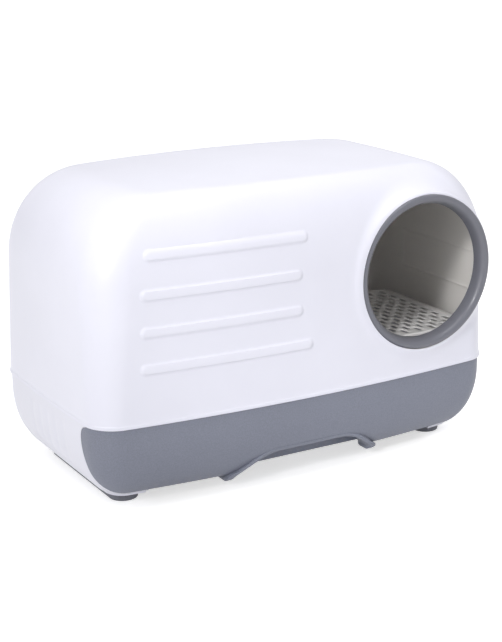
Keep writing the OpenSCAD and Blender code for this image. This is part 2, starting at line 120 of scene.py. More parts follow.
def baked(obj):
    """Apply every modifier of a piece to its mesh."""
    graph = bpy.context.evaluated_depsgraph_get()
    mesh = bpy.data.meshes.new_from_object(obj.evaluated_get(graph))
    obj.modifiers.clear()
    obj.data = mesh
    return obj


def soft_edges(obj, width, segments=2):
    """A live bevel on a piece's sharp edges, its width in millimetres."""
    bevel = obj.modifiers.new("soft_edges", "BEVEL")
    bevel.width, bevel.segments = width * MM, segments
    bevel.limit_method, bevel.angle_limit = "ANGLE", math.radians(40)


def bevelled(obj, width, segments=2):
    """Round a piece's sharp edges for good."""
    soft_edges(obj, width, segments)
    shade(baked(obj).data, SHARP_AFTER_BEVEL)
    return obj


def joined(name, objs):
    """Several meshes as one piece."""
    bm = bmesh.new()
    for obj in objs:
        bm.from_mesh(obj.data)
        bpy.data.objects.remove(obj)
    mesh = bpy.data.meshes.new(name)
    bm.to_mesh(mesh)
    bm.free()
    return in_scene(name, mesh)


# %% [markdown]
# ## The camera
#
# The photograph is taken from the front left and a little above, with a long lens. The camera is
# placed by azimuth, elevation and distance about a point near the middle of the box, with a very
# small roll.

# %% Camera
AZIMUTH, ELEVATION, ROLL = (math.radians(d) for d in (-30.4954, 16.4653, -0.2191))
DISTANCE = 5.131 * HEIGHT * MM
TARGET_RIGHT, TARGET_UP = 0.0101 * HEIGHT * MM, -0.058 * HEIGHT * MM
LENS_MM, SENSOR_MM = 82.84, 36

level = Matrix.Rotation(AZIMUTH, 4, "Z") @ Matrix.Rotation(math.pi / 2 - ELEVATION, 4, "X")
place = Vector((0, 0, 0.5 * HEIGHT * MM)) + level @ Vector((TARGET_RIGHT, TARGET_UP, DISTANCE))
camera_data = bpy.data.cameras.new("camera")
camera_data.lens, camera_data.sensor_width = LENS_MM, SENSOR_MM
camera = in_scene("camera", camera_data)
camera.matrix_world = Matrix.Translation(place) @ level @ Matrix.Rotation(ROLL, 4, "Z")
bpy.context.scene.camera = camera
print("camera at", [round(v, 4) for v in camera.location])

# %% [markdown]
# ## Finishes
#
# Nearly everything is moulded plastic, and the finishes differ in colour, gloss and grain. Each
# adds its own noise: a broad, faint unevenness of colour, and a fine grain in the bump where the
# mould is textured. All patterns read Object coordinates, which stay with a piece when it moves.


# %% Nodes of any tree
def add(tree, kind, inputs=(), **settings):
    """One node. Each input gets a value, a socket or a list of sockets; returns its outputs."""
    node = tree.nodes.new(kind)
    for key, value in settings.items():
        setattr(node, key, value)
    for key, value in dict(inputs).items():
        if isinstance(value, (bpy.types.NodeSocket, list)):
            for socket in value if isinstance(value, list) else [value]:
                tree.links.new(socket, node.inputs[key])
        else:
            node.inputs[key].default_value = value
    return node.outputs


def calc(tree, operation, a, b, **settings):
    return add(tree, "ShaderNodeMath", {0: a, 1: b}, operation=operation, **settings)[0]


# %% A node material and its patterns
def material(name, colour, roughness, **settings):
    """A Principled material, with constants on the shader's own sockets."""
    mat = bpy.data.materials.new(name)
    mat.use_nodes = True
    shader = mat.node_tree.nodes["Principled BSDF"]
    for socket, value in {"Base Color": (*colour, 1), "Roughness": roughness, **settings}.items():
        shader.inputs[socket].default_value = value
    return mat, mat.node_tree, shader


def noise(tree, scale, detail=2.0, rough=0.5):
    """A noise over Object coordinates, whose scale is in cycles per metre."""
    return add(tree, "ShaderNodeTexNoise", {
        "Vector": add(tree, "ShaderNodeTexCoord")["Object"],
        "Scale": scale, "Detail": detail, "Roughness": rough})["Fac"]


def shades(tree, value, colour, low, high, start=0.35, end=0.65):
    """From low to high times a colour, as a value goes from start to end."""
    output = add(tree, "ShaderNodeValToRGB", {"Fac": value})["Color"]
    for element, place, factor in zip(output.node.color_ramp.elements, (start, end), (low, high)):
        element.position = place
        element.color = (*(min(1.0, c * factor) for c in colour), 1)
    return output


def mixed(tree, share, first, second):
    """Two colours mixed by a share of the second."""
    return add(tree, "ShaderNodeMixRGB", {"Fac": share, "Color1": first, "Color2": second})["Color"]


def painted(tree, shader, colour, height=None, strength=0.0, depth_mm=0.0):
    """Lead a colour to the shader, and a bump if there is a height pattern."""
    tree.links.new(colour, shader.inputs["Base Color"])
    if height is not None:
        normal = add(tree, "ShaderNodeBump", {
            "Height": height, "Strength": strength, "Distance": depth_mm * MM})["Normal"]
        tree.links.new(normal, shader.inputs["Normal"])


# %% Moulded plastics
def moulded(name, colour, roughness, spread, grain, grain_mm, depth_mm, inner=None):
    """Plastic with a faint cloud in its colour and a grain of grain_mm in its bump.

    Faces whose attribute "inside" is 1 take the inner colour, if there is one. It is painted light
    and warm shade: a lighter, warmer tone for the inside of the same plastic."""
    mat, tree, shader = material(name, colour, roughness)
    cloud = shades(tree, noise(tree, 9.0, 3.0), colour, 1 - spread, 1 + spread)
    if inner is not None:
        inside = add(tree, "ShaderNodeAttribute", attribute_name="inside")["Fac"]
        cloud = mixed(tree, inside, cloud, (*inner, 1))
    painted(tree, shader, cloud, noise(tree, 1 / (grain_mm * MM), 1.0), grain, depth_mm)
    return mat


# The inner colour is painted light and warm shade for the hood's inside, which is the same plastic.
HOOD_WHITE_PAINTED_INSIDE = moulded("hood_white_plastic_painted_inside", (0.80, 0.80, 0.895), 0.34, 0.012, 0.10, 2.4, 0.10,
                     inner=(0.87, 0.845, 0.815))
BASE_WHITE = moulded("base_white_plastic", (0.79, 0.79, 0.875), 0.38, 0.012, 0.10, 2.4, 0.10)
TRAY_WHITE = moulded("tray_white_plastic", (0.74, 0.74, 0.75), 0.30, 0.02, 0.08, 3.0, 0.10)
DECK_WHITE = moulded("platform_plastic", (0.81, 0.795, 0.79), 0.40, 0.02, 0.12, 2.0, 0.10)
RING_GREY = moulded("rim_satin_grey", (0.160, 0.163, 0.192), 0.30, 0.03, 0.10, 1.8, 0.08)
RAIL_GREY = moulded("rail_grey_plastic", (0.20, 0.205, 0.22), 0.42, 0.03, 0.15, 1.5, 0.10)


# %% Textured grey, rubber and steel
def drawer_finish():
    """The drawer front's grey: a fine sparkly mould texture over a faint cloud."""
    colour = (0.204, 0.217, 0.273)
    mat, tree, shader = material("drawer_textured_grey", colour, 0.52)
    cloud = shades(tree, noise(tree, 7.0, 3.0), colour, 0.95, 1.05)
    specks = noise(tree, 620.0, 2.0, 0.7)
    flecks = shades(tree, specks, colour, 0.86, 1.16, 0.40, 0.62)
    painted(tree, shader, mixed(tree, 0.45, cloud, flecks), specks, 0.35, 0.25)
    return mat


def rubber_finish():
    """Soft grey rubber of the skids, dull and a little mottled."""
    colour = (0.165, 0.170, 0.200)
    mat, tree, shader = material("skid_rubber", colour, 0.62)
    patches = shades(tree, noise(tree, 60.0, 4.0), colour, 0.90, 1.08)
    painted(tree, shader, patches, noise(tree, 900.0, 2.0), 0.25, 0.15)
    return mat


def steel_finish():
    """Zinc-plated steel of the screws and the hinge pins."""
    colour = (0.60, 0.60, 0.58)
    mat, tree, shader = material("screw_zinc_steel", colour, 0.32, Metallic=1.0)
    painted(tree, shader, shades(tree, noise(tree, 300.0, 3.0), colour, 0.85, 1.1))
    return mat


DRAWER_GREY, SKID_RUBBER, STEEL = drawer_finish(), rubber_finish(), steel_finish()

# %% [markdown]
# ## Geometry Nodes for what repeats or follows a path
#
# A tree holds a rule: raise a bar along a line, sweep a profile round a circle, cut slots on a
# lattice, set a screw on every point. Its sizes are named inputs, so it serves again with other
# values. The result becomes a plain mesh at once, because an exported piece must hold its shape in
# its own mesh.

# %% Building and running a tree
SOCKET_KINDS = {float: "Float", int: "Int", tuple: "Vector", bpy.types.Material: "Material",
                type(None): "Object"}


def start_tree(name, inputs):
    """A new tree with an input like each value given, where None stands for an object."""
    tree = bpy.data.node_groups.new(name, "GeometryNodeTree")
    sockets = [("Geometry", "INPUT", "Geometry")]
    sockets += [(label, "INPUT", SOCKET_KINDS[type(value)]) for label, value in inputs.items()]
    for label, way, kind in sockets + [("Geometry", "OUTPUT", "Geometry")]:
        tree.interface.new_socket(label, in_out=way, socket_type="NodeSocket" + kind)
    return tree, tree.nodes.new("NodeGroupInput").outputs


def geo(tree, kind, inputs=(), **settings):
    """The first output of a geometry node."""
    return add(tree, "GeometryNode" + kind, inputs, **settings)[0]


def moved(tree, geometry, offset, turn=(0, 0, 0)):
    return geo(tree, "Transform", {"Geometry": geometry, "Translation": offset, "Rotation": turn})


def end_tree(tree, geometry, finish):
    """Real geometry and a material close every tree."""
    real = geo(tree, "RealizeInstances", {"Geometry": geometry})
    done = geo(tree, "SetMaterial", {"Geometry": real, "Material": finish})
    tree.links.new(done, tree.nodes.new("NodeGroupOutput").inputs[0])


def with_tree(obj, tree, values):
    """Put a tree on a piece; sizes are given in millimetres."""
    modifier = obj.modifiers.new(tree.name, "NODES")
    modifier.node_group = tree
    names = {item.name: item.identifier for item in tree.interface.items_tree
             if item.in_out == "INPUT"}
    for label, value in values.items():
        if isinstance(value, float):
            value = value * MM
        elif isinstance(value, tuple):
            value = tuple(c * MM for c in value)
        modifier[names[label]] = value
    return obj


def grown(name, tree, values, points, edges=()):
    """Run a tree on a start mesh and keep the result as a plain mesh."""
    obj = baked(with_tree(in_scene(name, start_mesh(name, points, edges)), tree, values))
    cleaned(obj.data)
    print(name, "has", len(obj.data.polygons), "faces")
    return obj


# %% [markdown]
# ## A bar on a skin
#
# The hood's face has four raised ribs and the base's ends have shallow flutes. Both are one shape:
# what lies within a set distance of a line moves out, or in, along its own normal, with a smooth
# step for an edge. The tree picks only skin near the line that faces the right way, so the inside
# of the wall stays plain.


# %% Tree of a bar
def vector(tree, operation, a, b=(0, 0, 0), output="Vector"):
    return add(tree, "ShaderNodeVectorMath", {0: a, 1: b}, operation=operation)[output]


def dot(tree, a, b):
    return vector(tree, "DOT_PRODUCT", a, b, "Value")


def scaled(tree, a, factor):
    return add(tree, "ShaderNodeVectorMath", {0: a, "Scale": factor}, operation="SCALE")["Vector"]


LEAST_TURN = 0.4
bar, given = start_tree("bar_on_a_skin", {
    "From": (0, 0, 0), "To": (0, 0, 0), "Facing": (0, 0, 0), "Half width": 1.0, "Edge": 1.0,
    "Height": 1.0, "Reach": 1.0, "Material": HOOD_WHITE_PAINTED_INSIDE})
facing = vector(bar, "NORMALIZE", given["Facing"])
normal = geo(bar, "InputNormal")
span = vector(bar, "SUBTRACT", given["To"], given["From"])
offset = vector(bar, "SUBTRACT", geo(bar, "InputPosition"), given["From"])
along = calc(bar, "DIVIDE", dot(bar, offset, span), dot(bar, span, span), use_clamp=True)
away = vector(bar, "SUBTRACT", offset, scaled(bar, span, along))
off_plane = dot(bar, away, facing)
in_plane = vector(bar, "SUBTRACT", away, scaled(bar, facing, off_plane))
distance = vector(bar, "LENGTH", in_plane, output="Value")
inwards = calc(bar, "SUBTRACT", given["Half width"], distance)
height = add(bar, "ShaderNodeMapRange", {
    "Value": inwards, "From Max": given["Edge"], "To Max": given["Height"]},
    interpolation_type="SMOOTHSTEP")[0]
turned = calc(bar, "GREATER_THAN", dot(bar, normal, facing), LEAST_TURN)
near = calc(bar, "GREATER_THAN", off_plane, calc(bar, "MULTIPLY", given["Reach"], -1))
raised = geo(bar, "SetPosition", {
    "Geometry": given["Geometry"], "Selection": calc(bar, "MULTIPLY", turned, near),
    "Offset": scaled(bar, normal, height)})
end_tree(bar, raised, given["Material"])


def barred(obj, bars, half_width, edge, height, reach, finish):
    """Raise or sink bars on a piece; each bar is (from, to, facing)."""
    for start, end, towards in bars:
        with_tree(obj, bar, {
            "From": start, "To": end, "Facing": towards, "Half width": half_width, "Edge": edge,
            "Height": height, "Reach": reach, "Material": finish})
    shade(baked(obj).data)


# %% [markdown]
# ## Outlines seen from above
#
# Hood and base share one outline: a rounded rectangle whose sides belly out a little. A station s
# runs once round it, from 0 to 8: even numbers start a side and odd numbers a corner. So a whole
# skin is a grid of stations against heights, with as many points in every row.


# %% Rounded and bellied outline
def outline(s, a, b, r, end_bulge=END_BULGE):
    """Points at stations s on a bellied rounded rectangle of half sizes a, b and radius r."""
    s = np.mod(s, 8.0)
    k = np.floor(s)
    f = s - k
    c, d = np.cos(f * math.pi / 2), np.sin(f * math.pi / 2)
    x0, y0 = a - r, b - r
    part = [k == n for n in range(7)]
    x = np.select(part, [(2 * f - 1) * x0, x0 + r * d, a + 0 * f, x0 + r * c,
                         (1 - 2 * f) * x0, -x0 - r * d, -a + 0 * f], -x0 - r * c)
    y = np.select(part, [-b + 0 * f, -y0 - r * c, (2 * f - 1) * y0, y0 + r * d,
                         b + 0 * f, y0 + r * c, (1 - 2 * f) * y0], -y0 - r * d)
    u, v = x / a, y / b
    return x + u * end_bulge * (1 - v * v), y + v * FRONT_BULGE * (1 - u * u)


def steps(*spans):
    """Values along spans of (start, end, about this step), without repeats."""
    out = []
    for start, end, step in spans:
        count = max(1, round(abs(end - start) / step))
        out += list(np.linspace(start, end, count + 1)[:-1])
    return out + [spans[-1][1]]


def normals(grid, wraps):
    """Unit normals of a grid of points, by differences along rows and columns."""
    along = np.roll(grid, -1, 1) - np.roll(grid, 1, 1) if wraps else np.gradient(grid, axis=1)
    n = np.cross(along, np.gradient(grid, axis=0))
    return n / np.maximum(np.linalg.norm(n, axis=2, keepdims=True), 1e-9)


def grid_faces(rows, cols, wraps, start=0):
    """Quads of a grid whose points are stored row after row."""
    last = cols if wraps else cols - 1
    return [
        (start + i * cols + j, start + i * cols + (j + 1) % cols,
         start + (i + 1) * cols + (j + 1) % cols, start + (i + 1) * cols + j)
        for i in range(rows - 1) for j in range(last)
    ]


# %% [markdown]
# ## The hood's skin
#
# The hood shows most. Its wall leans in a little, its upright corners grow rounder towards the
# top, and the roof rounds over widely. Rows lie close at the edges of the four ribs, and columns
# at their ends and round the entrance, so details come out crisp while plain areas stay light.

# %% Hood rows and columns
DRAFT = 0.009
CORNER_GROW = 12.7
TOP_ROUND_H, TOP_ROUND_X, TOP_ROUND_Y = 114.0, 97.0, 45.5
CROWN = 2.6
SIDE_TOP_Z = HEIGHT - CROWN - TOP_ROUND_H
ROOF_CORNER_LOSS = 0.71 * (CORNER_RADIUS + CORNER_GROW - 8)
RIB_HEIGHT, RIB_PROUD, RIB_EDGE, FACE_Y, RIB_REACH = 16.0, 2.2, 3.4, 165.0, 20.0
RIBS = [(332, -237, -10), (284, -245, -20), (237, -246, -19), (190.5, -247, -4)]
INNER_RIDGES, INNER_EDGE_Y = [206.5, 261.0], 52.0
ENTRY_X, ENTRY_Z = 178.4, 259.2
FRONT_HALF = 262.0
PLAIN_STEP, RIB_STEP, RIDGE_STEP = 3.0, 1.5, 1.3


def hood_levels():
    """Heights of the rows, close at the bead, at the rib edges and round the inner ridges."""
    z = [117.0, 117.35, 118.0, 119.0, 120.2, 121.0, 121.8, 123.0, 128.0, 136.0, 143.0]
    rib_edges = [zr + side * RIB_HEIGHT / 2 for zr, _, _ in RIBS for side in (-1, 1)]
    level = 148.0
    while level < 374.0:
        z.append(level)
        rib = min(abs(level - e) for e in rib_edges) < 3.6
        ridge = min(abs(level - e) for e in INNER_RIDGES) < 2.6
        level += RIB_STEP if rib else RIDGE_STEP if ridge else PLAIN_STEP
    return z


def hood_rows():
    """Each row's outline sizes, its height, its crown and how far it is drawn to the middle."""
    rows = []
    lean_top = DRAFT * (SIDE_TOP_Z - SEAM_Z)
    full = CORNER_RADIUS + CORNER_GROW
    for z in hood_levels():
        if z <= SIDE_TOP_Z:
            lean, f = DRAFT * (z - SEAM_Z), (z - SEAM_Z) / (SIDE_TOP_Z - SEAM_Z)
            rows.append((HALF_LENGTH - lean, HALF_DEPTH - lean,
                         CORNER_RADIUS + CORNER_GROW * f, z, 0.0, 1.0))
    tops = [math.asin((z - SIDE_TOP_Z) / TOP_ROUND_H) for z in hood_levels() if z > SIDE_TOP_Z]
    tops += list(np.linspace(tops[-1], math.pi / 2, 13)[1:])
    for t in tops:
        e = 1 - math.cos(t)
        rows.append((HALF_LENGTH - lean_top - TOP_ROUND_X * e,
                     HALF_DEPTH - lean_top - TOP_ROUND_Y * e, full - ROOF_CORNER_LOSS * e,
                     SIDE_TOP_Z + TOP_ROUND_H * math.sin(t), CROWN * math.sin(t), 1.0))
    for k in (0.94, 0.84, 0.7, 0.5, 0.3, 0.12):
        rows.append((*rows[-1][:5], k))
    return np.array(rows)


hood_columns = [0.5 + x / (2 * FRONT_HALF) for x in steps(
    (-FRONT_HALF, -222, 1.8), (-222, -34, 9.4), (-34, 4, 1.8), (4, 60, 7), (60, FRONT_HALF, 2.4))]
hood_columns += steps(
    (1, 2, 1 / 26), (2, 2.2, 1 / 55), (2.2, 2.715, 1 / 14), (2.715, 2.76, 1 / 160), (2.76, 3, 1 / 14),
    (3, 4, 1 / 10), (4, 5, 1 / 38), (5, 6, 1 / 10), (6, 7, 1 / 16), (7, 8, 1 / 22))[1:-1]
hood_rows_at = hood_rows()
print("hood grid:", len(hood_rows_at), "rows by", len(hood_columns), "columns")


# %% Plain hood surface
a, b, r, z, rise, k = (hood_rows_at[:, i][:, None] for i in range(6))
x, y = outline(np.array(hood_columns)[None, :], a, b, r)
plain = np.stack([x * k, y * k, z + rise * (1 - (x * k / HALF_LENGTH) ** 2)], axis=2)
out = normals(plain, True)
print("normals point out:", bool((out * plain).sum(2)[: len(hood_rows_at) - 8].min() > 0))

# %% [markdown]
# ## Bead, collar and inner ridges
#
# These are raised from the plain skin along its normals. The collar round the entrance is a
# shallow cone: each point moves out until it reaches the cone, and a smooth minimum of two
# distances gives the soft fillet that moulded parts have. Inside, thin ridges frame a panel on the
# right end wall, and a flat land backs the grey rim.

# %% Raised details
COLLAR_FACE_Y, COLLAR_BACK_Y, COLLAR_END_Y = -168.0, -115.0, -90.0
COLLAR_R, COLLAR_BACK_R = 109.0, 122.0
COLLAR_FILLET, COLLAR_EDGE = 16.0, 5.0
COLLAR_MOST = 90.0
BEAD_PROUD, BEAD_LOW_Z, BEAD_TOP_Z = 0.9, 116.6, 122.2
RIDGE_HALF, END_WALL_X = 2.2, 285
LAND_R, LAND_EDGE, LAND_Y = 116, 5, -163.5


def smooth_step(t):
    t = np.clip(t, 0, 1)
    return t * t * (3 - 2 * t)


def smooth_min(a, b, width):
    h = np.clip(0.5 + 0.5 * (b - a) / width, 0, 1)
    return b * (1 - h) + a * h - width * h * (1 - h)


def from_entry(p):
    """Distance to the axis of the entrance."""
    return np.hypot(p[..., 0] - ENTRY_X, p[..., 2] - ENTRY_Z)


def collar_distance(p, inset):
    """Distance to the collar's cone and its flat face, drawn in by inset."""
    slope = (COLLAR_BACK_R - COLLAR_R) / (COLLAR_BACK_Y - COLLAR_FACE_Y)
    radius = COLLAR_R - inset + slope * (np.minimum(p[..., 1], COLLAR_BACK_Y) - COLLAR_FACE_Y)
    flank = (from_entry(p) - radius) / math.hypot(1, slope)
    face = COLLAR_FACE_Y + inset - p[..., 1]
    return -smooth_min(-flank, -face, COLLAR_EDGE)


def collared(p, n, inset):
    """Points moved along their normals until they reach the collar or its fillet."""
    low, high = np.zeros(p.shape[:2]), np.full(p.shape[:2], COLLAR_MOST)
    for _ in range(34):
        mid = (low + high) / 2
        field = smooth_min(mid, collar_distance(p + n * mid[..., None], inset), COLLAR_FILLET)
        low, high = np.where(field < 0, mid, low), np.where(field < 0, high, mid)
    lift = low * smooth_step((COLLAR_END_Y - p[..., 1]) / (COLLAR_END_Y - COLLAR_BACK_Y))
    return p + n * lift[..., None]


def inner_ridges(p):
    """How far the ridges stand out of the right end wall at each point inside the hood."""
    low_z, high_z = INNER_RIDGES
    ahead = p[..., 1] < INNER_EDGE_Y + 2
    between = (p[..., 2] > low_z) & (p[..., 2] < high_z)
    proud = 0
    for size, axis, place, part in (
            (1.3, 2, low_z, ahead), (0.8, 2, high_z, ahead), (1.2, 1, INNER_EDGE_Y, between)):
        proud = proud + size * smooth_step(1 - np.abs(p[..., axis] - place) / RIDGE_HALF) * part
    return proud * (p[..., 0] > END_WALL_X)


z = plain[..., 2]
bead = BEAD_PROUD * smooth_step((z - BEAD_LOW_Z) / 0.9) * smooth_step((BEAD_TOP_Z - z) / 1.2)
outer = collared(plain + out * bead[..., None], out, 0)
inner = collared(plain - out * WALL, out, WALL)
inner = inner - out * inner_ridges(inner)[..., None]
land = smooth_step((LAND_R - from_entry(inner)) / LAND_EDGE) * (inner[..., 1] < -100)
inner[..., 1] = np.maximum(inner[..., 1], inner[..., 1] + (LAND_Y - inner[..., 1]) * land)
print("the collar lifts the skin by up to", round(float(np.abs(outer - plain).max()), 1), "mm")


# %% [markdown]
# ## Closing the shell, the ribs and the entrance
#
# The two grids are stitched along the lower edge and closed over the roof, which makes one
# watertight wall. The bar tree raises the ribs. A stepped round cutter opens the entrance: its
# wide part is the seat of the grey rim and its narrow part the hole behind.


# %% A wall between two grids
def shell(name, outside, inside, top_outside, top_inside):
    rows, cols, _ = outside.shape
    count = rows * cols
    points = np.concatenate([outside.reshape(-1, 3), inside.reshape(-1, 3),
                             [top_outside], [top_inside]])
    faces = grid_faces(rows, cols, True)
    faces += [f[::-1] for f in grid_faces(rows, cols, True, count)]
    for j in range(cols):
        k, top = (j + 1) % cols, (rows - 1) * cols
        faces.append((j, count + j, count + k, k))
        faces.append((top + j, top + k, 2 * count))
        faces.append((count + top + k, count + top + j, 2 * count + 1))
    return piece(name, points, faces)


def revolved(name, profile, centre, axis, segments):
    """A closed profile of (radius, distance along the axis) turned about an axis."""
    circle = np.linspace(0, 2 * math.pi, segments, endpoint=False)
    q = Vector(axis).to_track_quat("Z", "Y")
    side, other, along = (np.array(q @ Vector(v)) for v in ((1, 0, 0), (0, 1, 0), (0, 0, 1)))
    points = [np.array(centre) + r * (math.cos(t) * side + math.sin(t) * other) + h * along
              for t in circle for r, h in profile]
    n = len(profile)
    faces = [(i * n + j, i * n + (j + 1) % n, (i + 1) % segments * n + (j + 1) % n,
              (i + 1) % segments * n + j) for i in range(segments) for j in range(n)]
    return piece(name, points, faces)


def cut(obj, cutter):
    """Take a cutter away from a piece."""
    boolean = obj.modifiers.new("Cut", "BOOLEAN")
    boolean.operation, boolean.solver, boolean.object = "DIFFERENCE", "EXACT", cutter
    baked(obj)
    bpy.data.objects.remove(cutter)
    shade(obj.data)


hood = shell("hood_skin", outer, inner, (0, 0, HEIGHT), (0, 0, HEIGHT - WALL))
half = RIB_HEIGHT / 2
barred(hood, [((x0 + half, -FACE_Y, z), (x1 - half, -FACE_Y, z), (0, -1, 0)) for z, x0, x1 in RIBS],
       half, RIB_EDGE, RIB_PROUD, RIB_REACH, HOOD_WHITE_PAINTED_INSIDE)
SEAT_R, HOLE_R, SEAT_DEPTH, CUT_FRONT, CUT_BACK = 106.0, 96.6, 167.0, 260.0, 90.0
cut(hood, revolved("seat_cutter", [
    (0.0, CUT_FRONT), (SEAT_R, CUT_FRONT), (SEAT_R, SEAT_DEPTH), (HOLE_R, SEAT_DEPTH),
    (HOLE_R, CUT_BACK), (0.0, CUT_BACK)], (ENTRY_X, 0, ENTRY_Z), (0, -1, 0), 192))
print("hood:", len(hood.data.polygons), "faces")

# %% [markdown]
# ## Skins of the lower half
#
# The base and the drawer front are one shape, cut apart by a curve that leans back as it rises.
# Their grids run from cut to cut, so each piece's edge lies exactly on the curve and stays a clean
# line however closely it is looked at.

# %% Lower outline and the cut
BASE_Z, BASE_TOP_Z, BASE_INSET = 12.4, 116.5, 1.2
BASE_ROUND_H, BASE_ROUND_X, BASE_ROUND_Y = 85.5, 40.0, 47.0
BASE_SIDE_Z = BASE_Z + BASE_ROUND_H
BOTTOM_SHARE = 0.77
CUT_SIDE_Y, CUT_LEAN = -104.8, 22.0
CUT_CORNER_Y, CUT_CORNER_H, CUT_CORNER_Z = 14.0, 15.0, 99.5
FRONT_FLOOR_Z, FLOOR_EDGE_Y = 19.5, -98.0
CRESCENT_X = 225.0
GAP = 0.5
END_TUCK = 2.0


def lower_sizes(z):
    """Half sizes, corner radius and roundness of the lower outline at height z."""
    t = np.clip((BASE_SIDE_Z - z) / BASE_ROUND_H, 0, 1)
    e = np.minimum(1 - np.sqrt(np.maximum(1 - t * t, 0)), BOTTOM_SHARE)
    return (HALF_LENGTH - BASE_INSET - BASE_ROUND_X * e,
            HALF_DEPTH - BASE_INSET - BASE_ROUND_Y * e, CORNER_RADIUS * (1 - 0.4 * e), e)


def lower_points(s, z):
    """Points of the lower skin; the belly of its ends fades out towards the skids."""
    a, b, r, e = lower_sizes(z)
    x, y = outline(s, a, b, r, END_BULGE * (1 - smooth_step((e - 0.1) / 0.3)))
    tuck = END_TUCK * smooth_step((e - 0.45) / 0.25) * smooth_step((y + 125) / 40)
    return np.stack([x - x / a * tuck, y, z + 0 * x], axis=-1)


def cut_y(z):
    """Where the drawer front ends and the base begins on the side of the box."""
    lean = np.clip((BASE_SIDE_Z - z) / (BASE_SIDE_Z - FRONT_FLOOR_Z), 0, None) ** 1.6
    t = np.clip((z - CUT_CORNER_Z) / CUT_CORNER_H, 0, 1)
    return CUT_SIDE_Y - CUT_LEAN * lean - CUT_CORNER_Y * (1 - np.sqrt(1 - t * t))


def station_at(z, reached, low, high):
    """The station between low and high where reached(point) turns true, at each height."""
    low, high = low + 0 * z, high + 0 * z
    for _ in range(40):
        mid = (low + high) / 2
        hit = reached(lower_points(mid, z))
        low, high = np.where(hit, low, mid), np.where(hit, mid, high)
    return (low + high) / 2


def open_shell(name, outside, inside, floor_faces=(), floor_points=()):
    """A wall between two open grids, closed along its borders or by a floor of its own."""
    rows, cols, _ = outside.shape
    count = rows * cols
    points = np.concatenate([outside.reshape(-1, 3), inside.reshape(-1, 3),
                             np.reshape(floor_points, (-1, 3))])
    faces = grid_faces(rows, cols, False)
    faces += [f[::-1] for f in grid_faces(rows, cols, False, count)]
    top = (rows - 1) * cols
    for j in range(cols - 1):
        faces.append((top + j, top + j + 1, count + top + j + 1, count + top + j))
        if not floor_faces:
            faces.append((j + 1, j, count + j, count + j + 1))
    for i in range(rows - 1):
        p, q = i * cols, (i + 1) * cols
        faces.append((p, q, count + q, count + p))
        faces.append((q + cols - 1, p + cols - 1, count + p + cols - 1, count + q + cols - 1))
    return piece(name, points, faces + list(floor_faces))


def corner_levels(shift):
    """Heights of the rows at the rounded upper corner of the cut."""
    return [CUT_CORNER_Z + shift + CUT_CORNER_H * math.sin(math.radians(t)) for t in range(0, 91, 9)]


# %% [markdown]
# ## Solid pieces from a flat outline
#
# Webs, posts, bosses and plates start as a flat outline that is given depth along an axis, and a
# bevel rounds their edges as a mould would.

# %% Extruded pieces
AXIS_ORDER = {"x": (2, 0, 1), "y": (0, 2, 1), "z": (0, 1, 2)}


def extruded(name, loop, axis, low, high, bevel=0.0):
    """A flat loop given depth along an axis; the loop holds the other two coordinates."""
    loop = np.asarray(loop, float)
    n = len(loop)
    order = AXIS_ORDER[axis]
    layers = [np.column_stack([loop, np.full(n, level)])[:, order] for level in (low, high)]
    faces = [tuple(range(n)), tuple(range(2 * n - 1, n - 1, -1))]
    faces += [(i, (i + 1) % n, n + (i + 1) % n, n + i) for i in range(n)]
    obj = piece(name, np.concatenate(layers), faces)
    return bevelled(obj, bevel) if bevel else obj


def block(name, x, y, z, bevel=0.6):
    """A bevelled block between two values on each axis."""
    loop = [(x[0], y[0]), (x[1], y[0]), (x[1], y[1]), (x[0], y[1])]
    return extruded(name, loop, "z", z[0], z[1], bevel)


def capped(name, rings):
    """A closed piece from rings of points, with a face at each end."""
    rows, cols = rings.shape[:2]
    caps = [tuple(range(cols)), tuple(range(rows * cols - cols, rows * cols))]
    return piece(name, rings.reshape(-1, 3), grid_faces(rows, cols, True) + caps)


def arc(centre, radius, start, end, count=12):
    """Points of a flat arc, its angles in degrees."""
    t = np.radians(np.linspace(start, end, count))
    return [(centre[0] + radius * math.cos(a), centre[1] + radius * math.sin(a)) for a in t]


def disc(centre, radius, count=24):
    return arc(centre, radius, 0, 360 - 360 / count, count)


# %% [markdown]
# ## The drawer front
#
# The grey front wraps the whole lower face and both corners, with a shallow arch for the fingers.
# Its columns start on the arch or on the lower edge and end at the top, so the arch is a border
# of the grid and not a hole cut in it.

# %% Drawer front grid
GRIP_HALF, GRIP_FLAT = 107.0, 46.0
GRIP_TOP_Z, GRIP_END_Z = 46.9, 17.5
LIP_T, LIP_END_T, LIP_OVERLAP = 7.0, 5.0, 0.92
FRONT_LOW_Z, FRONT_TOP_Z = FRONT_FLOOR_Z + GAP, 116.2
OUTWARDS_LEFT = np.array([-1, 1, 1])


def arch_share(x):
    return np.clip((np.abs(x) - GRIP_FLAT) / (GRIP_HALF - GRIP_FLAT), 0, None)


def arch_z(x):
    """The inside of the finger arch: flat on top, sloping out to the tips."""
    return GRIP_TOP_Z - (GRIP_TOP_Z - GRIP_END_Z) * arch_share(x) ** 2


def lip_thickness(x):
    return LIP_T - (LIP_T - LIP_END_T) * arch_share(x)


def arch_curve(share, x):
    """The arch moved outwards by a share of the lip's thickness."""
    slope = arch_z(x + 0.5) - arch_z(x - 0.5)
    n = np.sqrt(1 + slope ** 2)
    grow = share * lip_thickness(x)
    return np.stack([x - grow * slope / n, arch_z(x) + grow / n], axis=1)


arch_outside = arch_curve(LIP_OVERLAP, np.linspace(-GRIP_HALF, GRIP_HALF, 221))
front_x = steps((0, 46, 9), (46, 106, 2.4), (106, 114, 1.0), (114, FRONT_HALF, 9))
corner_share = steps((0, 1, 1 / 24))[1:]
front_levels = steps((FRONT_LOW_Z, 26, 1.0), (26, 98, 5)) + corner_levels(-GAP)[1:] + [115.2, FRONT_TOP_Z]
up_share = (np.array(front_levels) - FRONT_LOW_Z) / (FRONT_TOP_Z - FRONT_LOW_Z)


